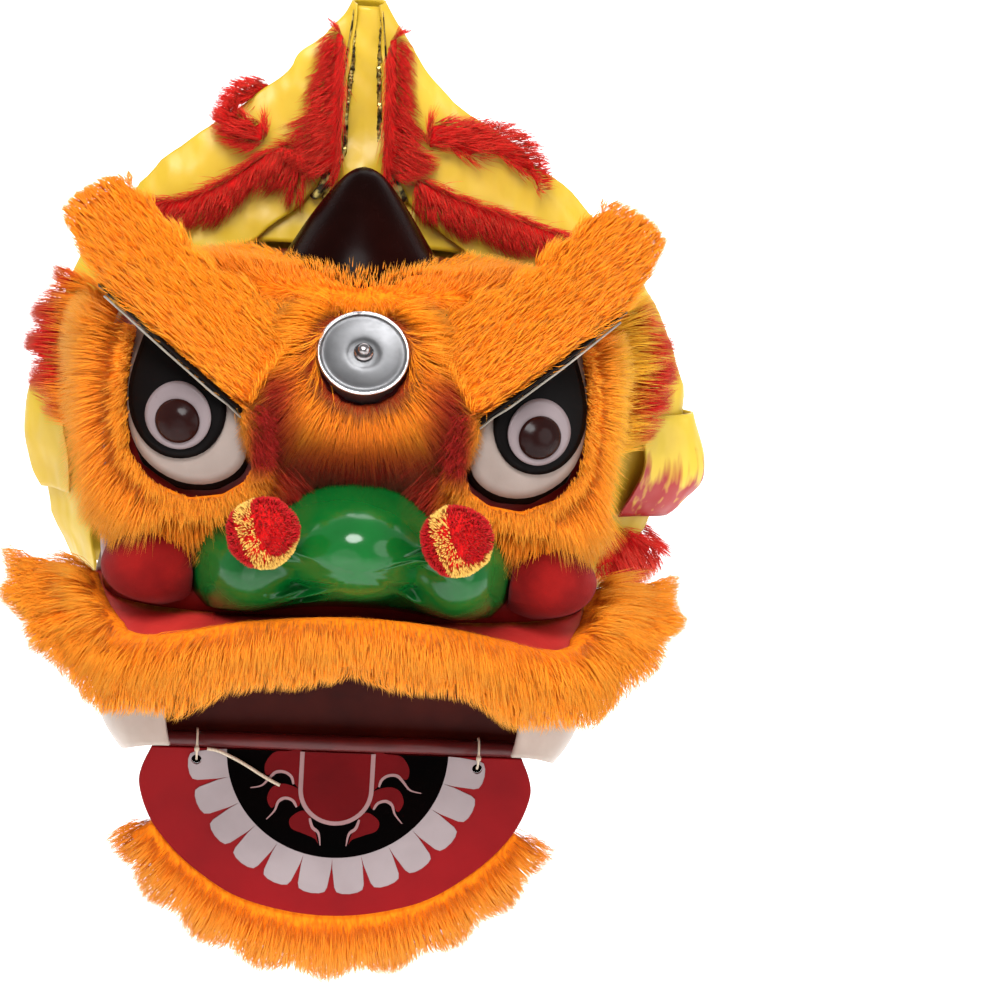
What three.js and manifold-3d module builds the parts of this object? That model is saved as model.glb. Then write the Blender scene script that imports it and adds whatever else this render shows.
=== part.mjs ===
// Lion dance head for a child: a hollow moulded head dressed in fur, with a hanging jaw and a satin cape.
// Millimetres, +Z up, the face looks along -Y.
// The origin is the underside of the crown, on the wearer's head.

import * as THREE from 'three';
import { mergeVertices } from 'three/addons/utils/BufferGeometryUtils.js';
import Module from 'manifold-3d';

const wasm = await Module();
wasm.setup();

// Driving dimensions
const SHELL_WALL = 2.5;
const PLATE = 2.5;
const CLOTH = 1.5;
const SEAT = 0.4; // clearance of a seated piece
const REAR_RIM = 80; // y of the shell's open rear edge
const FACE_SQUARENESS = 3; // exponent of the head's plan outline
const EYE = { x: 99, z: -76 };
const SUNK = -3; // lift of a dressed piece's underside before it is cut to the face
const NOSE = { z: -144, body: 17, wall: 2.2 };
const HORN = { y: -10, z: 1, height: 60, wall: 2.2, sink: 16, tilt: 8 };
const MIRROR = { z: -43, radius: 26, depth: 13, sink: 7, tilt: 38 };
const POMPOM = { x: 52, y: -168, z: -124, radius: 18 };
const CHEEK = { x: 110, z: -161, halfWidth: 28, halfHeight: 25, rise: 27 };
const BAR = { y: -60, z: -273, radius: 4.5, halfLength: 126 };
const BOARD = { thickness: 3, topGap: 0.5, holeX: 82, holeDrop: 12, holeRadius: 3 };
const TIE = { wire: 0.8, halfWidth: 6.5, halfHeight: 9.6, drop: 3 };
const TAIL_DIAMETER = 2;

// The head's outline by height: half width, front of the face, and where the front curve meets the sides
const SHELL_LEVELS = [
  { z: -187, half: 142, front: -103, shoulder: -30 },
  { z: -142, half: 146, front: -108, shoulder: -30 },
  { z: -95, half: 147, front: -106, shoulder: -28 },
  { z: -62, half: 146, front: -99, shoulder: -24 },
  { z: -38, half: 141, front: -85, shoulder: -18 },
  { z: -19, half: 129, front: -66, shoulder: -8 },
  { z: -6, half: 104, front: -42, shoulder: 4 },
  { z: 1.5, half: 62, front: -14, shoulder: 14 },
  { z: 4, half: 0, front: 20, shoulder: 20 },
];

// Edge of the upper lip from the middle of the mouth to its rear end
const LIP_EDGE = [
  { x: 0, y: -152, z: -179 },
  { x: 58, y: -150, z: -184 },
  { x: 98, y: -142, z: -195 },
  { x: 122, y: -126, z: -200 },
  { x: 138, y: -95, z: -196 },
  { x: 148, y: -55, z: -191 },
  { x: 152, y: -15, z: -190 },
];

// Lean of the lip fur from the lip's edge to its tips, in the same order as LIP_EDGE
const LIP_FUR = [
  { x: 0, y: -14, z: -20 },
  { x: 4, y: -16, z: -23 },
  { x: 9, y: -18, z: -32 },
  { x: 22, y: -16, z: -20 },
  { x: 38, y: -8, z: -2 },
  { x: 44, y: -2, z: 2 },
  { x: 42, y: 6, z: 11 },
];

// A brow wing from its inner end to its outer tip: lower and upper edge, and depth of its stuffing
const BROW_RIBS = [
  { lowX: 62, lowY: -110, lowZ: -68, highX: 32, highY: -80, highZ: -30, depth: 20 },
  { lowX: 92, lowY: -108, lowZ: -44, highX: 54, highY: -66, highZ: -12, depth: 34 },
  { lowX: 120, lowY: -99, lowZ: -22, highX: 90, highY: -64, highZ: 6, depth: 30 },
  { lowX: 146, lowY: -80, lowZ: -3, highX: 114, highY: -60, highZ: 30, depth: 8 },
  { lowX: 164, lowY: -64, lowZ: 27, highX: 134, highY: -54, highZ: 48, depth: 4 },
];

// Cape by tiers from hem to peak: front edge, widest side (left and right) and back
const CAPE_ROWS = [
  {
    edgeX: 148, edgeY: 40, edgeZ: -200, left: 160, right: 168,
    sideY: 72, sideZ: -202, backY: 112, backZ: -206,
  },
  {
    edgeX: 152, edgeY: 34, edgeZ: -150, left: 182, right: 206,
    sideY: 66, sideZ: -150, backY: 122, backZ: -152,
  },
  {
    edgeX: 153, edgeY: 30, edgeZ: -100, left: 188, right: 216,
    sideY: 64, sideZ: -100, backY: 126, backZ: -100,
  },
  {
    edgeX: 152, edgeY: 30, edgeZ: -58, left: 178, right: 208,
    sideY: 62, sideZ: -54, backY: 128, backZ: -52,
  },
  {
    edgeX: 143, edgeY: 34, edgeZ: -34, left: 160, right: 184,
    sideY: 60, sideZ: -14, backY: 126, backZ: -8,
  },
  {
    edgeX: 114, edgeY: 37, edgeZ: -12, left: 142, right: 158,
    sideY: 56, sideZ: 20, backY: 120, backZ: 30,
  },
  {
    edgeX: 66, edgeY: 39, edgeZ: 2, left: 114, right: 122,
    sideY: 56, sideZ: 50, backY: 110, backZ: 64,
  },
  {
    edgeX: 16, edgeY: 46, edgeZ: 36, left: 76, right: 68,
    sideY: 58, sideZ: 80, backY: 98, backZ: 94,
  },
  {
    edgeX: 13, edgeY: 52, edgeZ: 76, left: 42, right: 34,
    sideY: 60, sideZ: 106, backY: 86, backZ: 120,
  },
  {
    edgeX: 11, edgeY: 57, edgeZ: 112, left: 24, right: 24,
    sideY: 63, sideZ: 130, backY: 76, backZ: 137,
  },
  {
    edgeX: 7, edgeY: 61, edgeZ: 148, left: 9, right: 11,
    sideY: 65, sideZ: 150, backY: 70, backZ: 152,
  },
];

const vec = (x, y, z) => new THREE.Vector3(x, y, z);
const clamp = THREE.MathUtils.clamp;
const lerp = THREE.MathUtils.lerp;
const radians = THREE.MathUtils.degToRad;

// Catmull-Rom value of one column of a table, at a position counted in rows
function column(table, name, position) {
  const last = table.length - 1;
  const i = clamp(Math.floor(position), 0, last - 1);
  const t = position - i;
  const at = (k) => table[clamp(k, 0, last)][name];
  const [a, b, c, d] = [at(i - 1), at(i), at(i + 1), at(i + 2)];
  const slopeB = (c - a) / 2;
  const slopeC = (d - b) / 2;
  const bend = 2 * b - 2 * c + slopeB + slopeC;
  return b + t * (slopeB + t * (c - b - slopeB - bend + t * bend));
}

// Point of a table whose columns are a prefix followed by X, Y and Z
function tablePoint(table, names, share) {
  const position = share * (table.length - 1);
  return vec(...names.map((name) => column(table, name, position)));
}

// A closed body from an outer and an inner surface on the same grid
function gridSolid(outer, inner, columns, rows, { wrap = false, openTop = false } = {}) {
  const positions = [];
  for (const surface of [outer, inner]) {
    for (let j = 0; j <= rows; j += 1) {
      for (let i = 0; i <= columns; i += 1) {
        positions.push(...surface(i / columns, j / rows).toArray());
      }
    }
  }
  const layer = (columns + 1) * (rows + 1);
  const front = (i, j) => j * (columns + 1) + i;
  const back = (i, j) => layer + front(i, j);
  const index = [];
  const quad = (a, b, c, d) => index.push(a, b, c, a, c, d);
  for (let j = 0; j < rows; j += 1) {
    for (let i = 0; i < columns; i += 1) {
      quad(front(i, j), front(i + 1, j), front(i + 1, j + 1), front(i, j + 1));
      quad(back(i, j), back(i, j + 1), back(i + 1, j + 1), back(i + 1, j));
    }
    if (!wrap) {
      quad(front(0, j), front(0, j + 1), back(0, j + 1), back(0, j));
      quad(front(columns, j), back(columns, j), back(columns, j + 1), front(columns, j + 1));
    }
  }
  for (let i = 0; i < columns; i += 1) {
    quad(front(i, 0), back(i, 0), back(i + 1, 0), front(i + 1, 0));
    if (!openTop) {
      quad(front(i, rows), front(i + 1, rows), back(i + 1, rows), back(i, rows));
    }
  }
  const geometry = new THREE.BufferGeometry();
  geometry.setAttribute('position', new THREE.Float32BufferAttribute(positions, 3));
  geometry.setIndex(index);
  return welded(geometry);
}

// Merge shared vertices, drop collapsed triangles and turn the faces outwards
function welded(geometry) {
  const bare = geometry.clone();
  bare.deleteAttribute('normal');
  bare.deleteAttribute('uv');
  const merged = mergeVertices(bare, 1e-3);
  const index = merged.index.array;
  const kept = [];
  for (let k = 0; k < index.length; k += 3) {
    const [a, b, c] = [index[k], index[k + 1], index[k + 2]];
    if (a !== b && b !== c && c !== a) kept.push(a, b, c);
  }
  if (signedVolume(merged.attributes.position, kept) < 0) kept.reverse();
  merged.setIndex(kept);
  return merged;
}

function signedVolume(position, index) {
  const corner = [vec(0, 0, 0), vec(0, 0, 0), vec(0, 0, 0)];
  let sum = 0;
  for (let k = 0; k < index.length; k += 3) {
    corner.forEach((point, n) => point.fromBufferAttribute(position, index[k + n]));
    sum += corner[0].dot(corner[1].clone().cross(corner[2])) / 6;
  }
  return sum;
}

function toSolid(geometry) {
  const body = welded(geometry);
  const vertProperties = new Float32Array(body.attributes.position.array);
  const triVerts = new Uint32Array(body.index.array);
  return new wasm.Manifold(new wasm.Mesh({ numProp: 3, vertProperties, triVerts }));
}

function toGeometry(solid) {
  const mesh = solid.getMesh();
  const geometry = new THREE.BufferGeometry();
  geometry.setAttribute('position', new THREE.Float32BufferAttribute(mesh.vertProperties, 3));
  geometry.setIndex(Array.from(mesh.triVerts));
  return welded(geometry);
}

// Cut the neighbours out of a piece and keep its main body
function cutClear(geometry, ...neighbours) {
  let solid = toSolid(geometry);
  for (const neighbour of neighbours) solid = solid.subtract(toSolid(neighbour));
  const bodies = solid.decompose();
  bodies.sort((a, b) => b.volume() - a.volume());
  return toGeometry(bodies[0]);
}

// A copy swollen along its normals, which cuts a neighbour to a seat
function grown(geometry, margin = 0.5) {
  const copy = welded(geometry);
  copy.computeVertexNormals();
  const { position, normal } = copy.attributes;
  for (let k = 0; k < position.count; k += 1) {
    const point = vec(0, 0, 0).fromBufferAttribute(position, k);
    point.addScaledVector(vec(0, 0, 0).fromBufferAttribute(normal, k), margin);
    position.setXYZ(k, ...point.toArray());
  }
  return copy;
}

function joined(...geometries) {
  return toGeometry(geometries.map(toSolid).reduce((sum, next) => sum.add(next)));
}

// Mirror a right-hand piece to the left
function mirrored(geometry) {
  const copy = geometry.clone();
  copy.scale(-1, 1, 1);
  return welded(copy);
}

// The head's outline at a height
function levelAt(z) {
  const last = SHELL_LEVELS.length - 1;
  let i = 0;
  while (i < last - 1 && z > SHELL_LEVELS[i + 1].z) i += 1;
  const t = (z - SHELL_LEVELS[i].z) / (SHELL_LEVELS[i + 1].z - SHELL_LEVELS[i].z);
  const position = i + clamp(t, 0, 1);
  return {
    half: Math.max(0, column(SHELL_LEVELS, 'half', position)),
    front: column(SHELL_LEVELS, 'front', position),
    shoulder: column(SHELL_LEVELS, 'shoulder', position),
  };
}

const LEG_SHARE = 0.16; // share of the plan outline that is the straight side behind the shoulder

// Point of the head's outer surface: along from left rear to right rear, up from rim to crown
function shellPoint(along, up) {
  const position = up * (SHELL_LEVELS.length - 1);
  const i = Math.min(Math.floor(position), SHELL_LEVELS.length - 2);
  const z = lerp(SHELL_LEVELS[i].z, SHELL_LEVELS[i + 1].z, position - i);
  const { half, front, shoulder } = levelAt(z);
  const side = along < 0.5 ? -1 : 1;
  const fromRear = Math.min(along, 1 - along);
  if (fromRear < LEG_SHARE) {
    return vec(side * half, lerp(REAR_RIM, shoulder, fromRear / LEG_SHARE), z);
  }
  const angle = ((fromRear - LEG_SHARE) / (0.5 - LEG_SHARE)) * (Math.PI / 2);
  const power = 2 / FACE_SQUARENESS;
  const x = half * Math.cos(angle) ** power;
  return vec(side * x, shoulder - (shoulder - front) * Math.sin(angle) ** power, z);
}

// Unit normal of any grid surface, by differences
function surfaceNormal(surface, u, v) {
  const step = 0.004;
  const [u0, u1] = [Math.max(0, u - step), Math.min(1, u + step)];
  const [v0, v1] = [Math.max(0, v - step), Math.min(1, v + step)];
  const along = surface(u1, v).sub(surface(u0, v));
  const up = surface(u, v1).sub(surface(u, v0));
  return along.cross(up).normalize();
}

function shellLifted(lift) {
  return (along, up) => {
    const normal = up > 0.999 ? vec(0, 0, 1) : surfaceNormal(shellPoint, along, up);
    return shellPoint(along, up).addScaledVector(normal, lift);
  };
}

function shellGeometry(lift = 0, wall = SHELL_WALL) {
  const columns = 15;
  const rows = SHELL_LEVELS.length - 1;
  return gridSolid(shellLifted(lift), shellLifted(lift - wall), columns, rows, { openTop: true });
}

// Depth of the face at a place seen from the front
function faceY(x, z) {
  const { half, front, shoulder } = levelAt(z);
  const share = Math.min(Math.abs(x) / half, 0.992);
  return shoulder - (shoulder - front) * (1 - share ** FACE_SQUARENESS) ** (1 / FACE_SQUARENESS);
}

// Point over the face, lifted along its normal
function onFace(x, z, lift) {
  const step = 1;
  const slopeX = (faceY(x + step, z) - faceY(x - step, z)) / (2 * step);
  const slopeZ = (faceY(x, z + step) - faceY(x, z - step)) / (2 * step);
  const normal = vec(slopeX, -1, slopeZ).normalize();
  return vec(x, faceY(x, z), z).addScaledVector(normal, lift);
}

function closedOutline(points) {
  return new THREE.CatmullRomCurve3(points.map(([x, z]) => vec(x, 0, z)), true);
}

// A plate wrapped on the face inside a closed outline, crowned by a rise that falls to its edge
function facePlate(outline, low, high, steps, { rings = 2, rise = 0 } = {}) {
  const spots = outline.getPoints(steps);
  const middle = spots.slice(0, steps).reduce((sum, p) => sum.add(p), vec(0, 0, 0)).divideScalar(steps);
  const at = (u, v) => middle.clone().lerp(spots[Math.round(u * steps) % steps], v);
  const top = (u, v) => {
    const spot = at(u, v);
    return onFace(spot.x, spot.z, high + rise * Math.sqrt(1 - v * v));
  };
  const bottom = (u, v) => {
    const spot = at(u, v);
    return onFace(spot.x, spot.z, low);
  };
  return gridSolid(top, bottom, steps, rings, { wrap: true });
}

// A pelt from rows of outer and inner points; every second column ends short, which parts its tips in locks
function pelt(outerRows, innerRows, columns, lockShare, wrap = false) {
  const rows = outerRows(0).length - 1;
  const pick = (source) => (u, v) => {
    const points = source(u);
    const j = Math.round(v * rows);
    const short = j === rows && Math.round(u * columns) % 2 === 1;
    return short ? points[j].clone().lerp(points[j - 1], lockShare) : points[j];
  };
  return gridSolid(pick(outerRows), pick(innerRows), columns, rows, { wrap });
}

// A pelt that lies on the face between root and tip outlines
function facePelt(root, tip, columns, pile, lockShare, wrap = false) {
  const shares = [0, 0.5, 1];
  const rows = (lifts) => (u) => shares.map((share, j) => {
    const spot = root(u).lerp(tip(u), share);
    return onFace(spot.x, spot.z, lifts[j]);
  });
  const crowns = [0.5 * pile, pile, 0.35 * pile];
  return pelt(rows(crowns), rows([SUNK, SUNK, SUNK]), columns, lockShare, wrap);
}

function turnedCone(profile, steps) {
  const half = profile.map(([radius, height]) => new THREE.Vector2(radius, height));
  return new THREE.LatheGeometry(half, steps).rotateX(Math.PI / 2);
}

// Place a piece turned about +Z so that its axis leans back from straight up by an angle towards the face
function leaned(geometry, tilt, x, y, z) {
  return geometry.rotateX(radians(tilt)).translate(x, y, z);
}

// The horn before it is cut to the crown
function hornBlank() {
  const half = [[50, -HORN.sink], [48, 0], [40.5, 14], [31, 29], [20, 43.5], [10.5, 54]];
  const inner = half.map(([r, h]) => [r - HORN.wall, h - (h > 0 ? HORN.wall : 0)]).reverse();
  const profile = [...half, [0, HORN.height], [0, HORN.height - 3 * HORN.wall], ...inner, half[0]];
  return leaned(turnedCone(profile, 13), -HORN.tilt, 0, HORN.y, HORN.z);
}

function mirrorPlace(geometry) {
  return leaned(geometry, 90 - MIRROR.tilt, 0, faceY(0, MIRROR.z), MIRROR.z);
}

function mirrorGeometry() {
  const { radius, depth, sink } = MIRROR;
  const profile = [
    [0, -sink], [radius - 1.5, -sink], [radius, depth - 3], [radius - 1, depth - 0.8], [radius - 3, depth],
    [radius - 6, depth - 1.2], [10, depth - 2.4], [9, depth - 1.2], [0, depth - 1.2],
  ];
  return cutClear(mirrorPlace(turnedCone(profile, 16)), shellCutter);
}

function mirrorStudGeometry() {
  const seat = MIRROR.depth - 1.2 + 0.3;
  const half = [[0, 0], [6, 0], [6, 1.5], [4.6, 2], [4.2, 5], [2.4, 6.6], [0, 7]];
  const profile = half.map(([radius, height]) => [radius, seat + height]);
  return mirrorPlace(turnedCone(profile, 10));
}

// Eye plates: outlines from the eye's centre, with x outwards and z up
const EYE_WHITE = [
  [23, 46], [27, 12], [25, -20], [-1, -38], [-27, -34], [-40, -19], [-30, 6], [-14, 28], [4, 44],
];
const EYE_BLACK = [
  [18, 42], [24, 22], [27, 4], [18, -18], [0, -25], [-19, -18], [-28, 3], [-20, 24], [-2, 31], [9, 37],
];

function eyeOutline(points, grow = 1, dropX = 0, dropZ = 0) {
  return closedOutline(points.map(([x, z]) => [EYE.x + grow * x + dropX, EYE.z + grow * z + dropZ]));
}

function eyeDisc(radius, dropZ) {
  const spots = [];
  for (let k = 0; k < 8; k += 1) {
    const angle = (k * Math.PI) / 4;
    spots.push([EYE.x - 1 + radius * Math.cos(angle), EYE.z + dropZ + radius * Math.sin(angle)]);
  }
  return closedOutline(spots);
}

// The plates of one eye from the face outwards: lift of underside and top
const EYE_STACK = {
  eye_liner: { low: SUNK, high: 2.6, outline: () => eyeOutline(EYE_WHITE, 1.02, 0, -2.6), color: 0x0c0b0b },
  eye_white: { low: 3.3, high: 5, outline: () => eyeOutline(EYE_WHITE), color: 0xd8d0cc },
  eye_black: { low: 5.6, high: 6.8, outline: () => eyeOutline(EYE_BLACK), color: 0x0c0b0b },
  eye_ring: { low: 7.4, high: 8.4, outline: () => eyeDisc(18, -1), color: 0xaa9fa2 },
  eye_pupil: { low: 8.9, high: 9.6, outline: () => eyeDisc(12, -3.5), color: 0x3a1410, rise: 4.5 },
};

function eyeSolid({ low, high, outline, rise = 0 }) {
  return cutClear(facePlate(outline(), low, high, 12, { rings: 2, rise }), shellCutter);
}

// Nose outline seen from the front, right half from top to bottom
const NOSE_HALF = [
  [0, -103], [24, -107], [40, -120], [54, -129], [72, -127], [87, -138],
  [92, -158], [88, -177], [74, -186], [50, -184], [25, -180], [0, -179],
];

function noseOutline() {
  const left = NOSE_HALF.slice(1, -1).reverse().map(([x, z]) => [-x, z]);
  return closedOutline([...NOSE_HALF, ...left]);
}

// Height of a round swelling at a place seen from the front
function swelling(x, z, { atX, atZ, halfX, halfZ, height }) {
  return height * Math.sqrt(Math.max(0, 1 - ((x - atX) / halfX) ** 2 - ((z - atZ) / halfZ) ** 2));
}

const NOSE_BULB = { atX: 0, atZ: -135, halfX: 41, halfZ: 36, height: 44 };
const NOSE_LOBE = { atX: 65, atZ: -156, halfX: 34, halfZ: 31, height: 30 };

function noseHeight(x, z, v) {
  const raised = Math.max(swelling(x, z, NOSE_BULB), swelling(Math.abs(x), z, NOSE_LOBE));
  return (NOSE.body + raised) * Math.sqrt(1 - v ** 6);
}

const NOSE_GRID = { round: 26, rings: 5 };

// One surface of the nose: scaled about its middle and raised over its moulded height
function noseLayer(scale, raise) {
  const spots = noseOutline().getPoints(NOSE_GRID.round);
  const skirt = 3;
  return (u, v) => {
    const rim = spots[Math.round(u * NOSE_GRID.round) % NOSE_GRID.round];
    const spot = vec(0, 0, NOSE.z).lerp(rim, v * scale);
    const height = v > 0.999 ? 0 : skirt + noseHeight(spot.x, spot.z, v) + raise;
    return vec(spot.x, faceY(spot.x, spot.z) - SEAT - height, spot.z);
  };
}

function noseGeometry() {
  const inner = noseLayer(1 - NOSE.wall / 60, -NOSE.wall);
  const shell = gridSolid(noseLayer(1, 0), inner, NOSE_GRID.round, NOSE_GRID.rings, { wrap: true });
  return cutClear(shell, shellCutter);
}

// The space that the nose fills, with a margin
function noseGuard() {
  const scale = 1.015;
  const outer = noseLayer(scale, 0.6);
  const floor = (u, v) => {
    const { x, z } = outer(u, v);
    return vec(x, faceY(x, z) + 8, z);
  };
  return gridSolid(outer, floor, NOSE_GRID.round, NOSE_GRID.rings, { wrap: true });
}

// A wool ball: a sphere whose surface stands up in tufts
function pompomGeometry() {
  const ball = new THREE.IcosahedronGeometry(POMPOM.radius, 2);
  ball.deleteAttribute('normal');
  ball.deleteAttribute('uv');
  const wool = mergeVertices(ball, 1e-3);
  const { position } = wool.attributes;
  for (let k = 0; k < position.count; k += 1) {
    const point = vec(0, 0, 0).fromBufferAttribute(position, k).multiplyScalar(1 - 0.05 * (k % 2));
    position.setXYZ(k, ...point.toArray());
  }
  return wool.translate(POMPOM.x, POMPOM.y, POMPOM.z);
}

function pompomPostGeometry() {
  const reach = 44;
  const post = new THREE.CylinderGeometry(2.2, 2.2, reach, 10).translate(0, reach / 2, 0);
  post.rotateX(radians(-30));
  post.translate(POMPOM.x, POMPOM.y, POMPOM.z);
  return cutClear(post, grown(pompom, 0.3), noseGuard(), mirrored(noseGuard()));
}

function cheekOutline() {
  const spots = [];
  for (let k = 0; k < 8; k += 1) {
    const angle = (k * Math.PI) / 4;
    spots.push([CHEEK.x + CHEEK.halfWidth * Math.cos(angle), CHEEK.z + CHEEK.halfHeight * Math.sin(angle)]);
  }
  return closedOutline(spots);
}

function cheekGeometry() {
  const ball = facePlate(cheekOutline(), SUNK, 1, 14, { rings: 3, rise: CHEEK.rise });
  return cutClear(ball, shellCutter, noseGuard(), mirrored(noseGuard()), grown(lip), grown(mirrored(lip)));
}

// Fur round the right eye, from the inner corner under the eye and up to the ear
const EYE_FUR = [
  { rootX: -30, rootZ: 12, tipX: -64, tipZ: 6 },
  { rootX: -39, rootZ: -12, tipX: -66, tipZ: -28 },
  { rootX: -36, rootZ: -27, tipX: -44, tipZ: -47 },
  { rootX: -12, rootZ: -38, tipX: -18, tipZ: -60 },
  { rootX: 13, rootZ: -33, tipX: 16, tipZ: -62 },
  { rootX: 25, rootZ: -19, tipX: 36, tipZ: -52 },
  { rootX: 26, rootZ: 2, tipX: 41, tipZ: -14 },
  { rootX: 25, rootZ: 22, tipX: 44, tipZ: 12 },
  { rootX: 23, rootZ: 42, tipX: 46, tipZ: 36 },
];

function eyeFurGeometry() {
  const spot = (name) => (u) => {
    const position = u * (EYE_FUR.length - 1);
    const x = EYE.x + column(EYE_FUR, `${name}X`, position);
    return vec(x, 0, EYE.z + column(EYE_FUR, `${name}Z`, position));
  };
  const fur = facePelt(spot('root'), spot('tip'), 12, 12, 0.35);
  return cutClear(
    fur, shellCutter, grown(cheek), noseGuard(), mirrored(noseGuard()),
    grown(mirrorFur), grown(mirrored(mirrorFur)), grown(brow), eyeGuard(),
  );
}

// The space that the eye plates fill, with a margin
function eyeGuard() {
  return facePlate(eyeOutline(EYE_WHITE, 1.07, 0, -2.6), -4, 10, 14, { rings: 2, rise: 6 });
}

function mirrorFurGeometry() {
  const round = (radius) => (u) => {
    const angle = u * 2 * Math.PI;
    const fall = Math.max(0, -Math.cos(angle));
    const reach = radius(fall, angle);
    return vec(reach * Math.sin(angle), 0, MIRROR.z - 2 + reach * 0.78 * Math.cos(angle));
  };
  const root = round(() => 12);
  const tip = round((fall, angle) => 30 + 16 * Math.abs(Math.sin(angle)) + 42 * fall);
  const fur = facePelt(root, tip, 16, 11, 0.3, true);
  return cutClear(fur, shellCutter, noseGuard(), grown(mirror, 0.7));
}

// Fur across the forehead, from brow to brow and up to the horn
function crownFurGeometry() {
  const [from, to] = [0.31, 0.69];
  const columns = 8;
  const rise = (u, share) => {
    const middle = 1 - Math.abs(2 * u - 1);
    return lerp(0.56 + 0.05 * middle, 0.86 - 0.02 * middle, share);
  };
  const rows = (lifts) => (u) => [0, 0.5, 1].map((share, j) => {
    return shellLifted(lifts[j])(lerp(from, to, u), rise(u, 1 - share));
  });
  const fur = pelt(rows([6, 14, 7]), rows([SUNK, SUNK, SUNK]), columns, 0.3);
  return cutClear(
    fur, shellCutter, grown(hornBlank()), grown(mirrorFur),
    grown(browBlank()), grown(mirrored(browBlank())),
  );
}

function browEdge(name) {
  return (u) => tablePoint(BROW_RIBS, [`${name}X`, `${name}Y`, `${name}Z`], u);
}

// A brow wing before it is cut to its neighbours
function browBlank() {
  const [low, high] = [browEdge('low'), browEdge('high')];
  const bulges = [3, 11, 9, 1.5];
  const inwards = vec(-0.3, 1, -0.25);
  const shares = [0, 0.3, 0.7, 1];
  const front = (u) => shares.map((share, j) => {
    return low(u).lerp(high(u), share).add(vec(0.25 * bulges[j], -bulges[j], 0.35 * bulges[j]));
  });
  const back = (u) => {
    const depth = column(BROW_RIBS, 'depth', u * (BROW_RIBS.length - 1));
    const sinks = [0.1, 0.5, 0.9, 0.7];
    return shares.map((share, j) => {
      return low(u).lerp(high(u), share).addScaledVector(inwards, 1 + depth * sinks[j]);
    });
  };
  return pelt(front, back, 12, 0.3);
}

// The black strip under the brow, a flat bar along its lower edge
function browEdgeGeometry() {
  const low = browEdge('low');
  const under = vec(0.5, -1.2, -3.8);
  const path = new THREE.CatmullRomCurve3([0.04, 0.3, 0.55, 0.74].map((u) => low(u).add(under)));
  const section = new THREE.Shape();
  section.absellipse(0, 0, 4, 2, 0, 2 * Math.PI);
  const strip = new THREE.ExtrudeGeometry(section, { extrudePath: path, steps: 7, curveSegments: 3 });
  return cutClear(strip, grown(brow, 0.3), eyeGuard());
}

// A leaf-shaped fur ear on the side of the head
function earGeometry() {
  const spine = (u) => vec(0, 0, lerp(-108, -32, u));
  const reach = (u) => 8 + 20 * Math.sin(Math.PI * clamp(0.12 + 0.8 * u, 0, 1));
  const rows = (y, lift) => (u) => [0, 0.5, 1].map((share) => {
    const { z } = spine(u);
    const seat = Math.abs(shellPoint(LEG_SHARE, 0).x) + 8;
    const bow = lift * Math.sin(Math.PI * (0.2 + 0.6 * share));
    return vec(lerp(seat - 16, seat + reach(u), share), y + 12 * share - bow, z + 16 * share);
  });
  const fur = pelt(rows(-14, 8), rows(-10, 0), 8, 0.35);
  return cutClear(fur, shellCutter, grown(brow), grown(eyeFur), eyeGuard());
}

// Half tables run from the middle to the rear, so a whole lip is walked from the left end to the right
function lipPoint(table, u) {
  const point = tablePoint(table, ['x', 'y', 'z'], Math.abs(2 * u - 1));
  point.x *= Math.sign(2 * u - 1) || 1;
  return point;
}

const LIP_SEAT = SHELL_LEVELS[0].z - SEAT - PLATE / 2; // middle of the lip plate under the shell's rim

// The lip plate reaches in under the shell's rim
function lipGeometry() {
  const inner = (u) => {
    const point = shellLifted(-7)(lerp(0.09, 0.91, u), 0);
    return point.setZ(LIP_SEAT);
  };
  const surface = (side) => (u, v) => {
    const point = inner(u).lerp(lipPoint(LIP_EDGE, u), v);
    point.z += (side * PLATE) / 2;
    return point;
  };
  return cutClear(gridSolid(surface(1), surface(-1), 26, 1), grown(shellCutter, SEAT));
}

function lipFringeGeometry() {
  const outwards = (u) => lipPoint(LIP_FUR, u).setZ(0).normalize();
  const edge = (u, out, up) => lipPoint(LIP_EDGE, u).addScaledVector(outwards(u), out).add(vec(0, 0, up));
  const tip = (u) => lipPoint(LIP_EDGE, u).add(lipPoint(LIP_FUR, u));
  const half = PLATE / 2;
  const outer = (u) => [
    edge(u, -9, half + 2.5), edge(u, 3, half + 8), edge(u, 12, half + 3).lerp(tip(u), 0.3), tip(u),
  ];
  const inner = (u) => [
    edge(u, -8, half + 0.9), edge(u, 0.8, half + 0.9),
    edge(u, 0.8, -2).lerp(tip(u), 0.3), tip(u).add(vec(0, 1, -1)),
  ];
  const fur = pelt(outer, inner, 22, 0.3);
  return cutClear(
    fur, grown(shellCutter, 0.3), grown(lip), noseGuard(), grown(cheek), grown(mirrored(cheek)),
  );
}

// White side wall of the mouth: from its front corner round to the rear, drawn in at its foot
const MUZZLE_PLAN = [
  { x: 102, y: -98 }, { x: 128, y: -95 }, { x: 143, y: -70 }, { x: 146, y: -20 }, { x: 145, y: 40 },
];
const MUZZLE_FEET = [
  { z: -266, inset: 17 }, { z: -256, inset: 6 }, { z: -240, inset: 1 }, { z: -186, inset: 0 },
];
const MUZZLE_GRID = { round: 7, up: 3 };

function muzzleSurface(wall) {
  return (u, v) => {
    const plan = u * (MUZZLE_PLAN.length - 1);
    const foot = v * (MUZZLE_FEET.length - 1);
    const inset = column(MUZZLE_FEET, 'inset', foot) + wall;
    const x = column(MUZZLE_PLAN, 'x', plan) - inset * Math.min(1, 0.25 + 1.5 * u);
    const y = column(MUZZLE_PLAN, 'y', plan) + wall * (1 - u);
    const bracket = 13 * clamp(3 * u - 0.6, 0, 1) * (1 - v);
    return vec(x, y, column(MUZZLE_FEET, 'z', foot) - bracket);
  };
}

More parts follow.
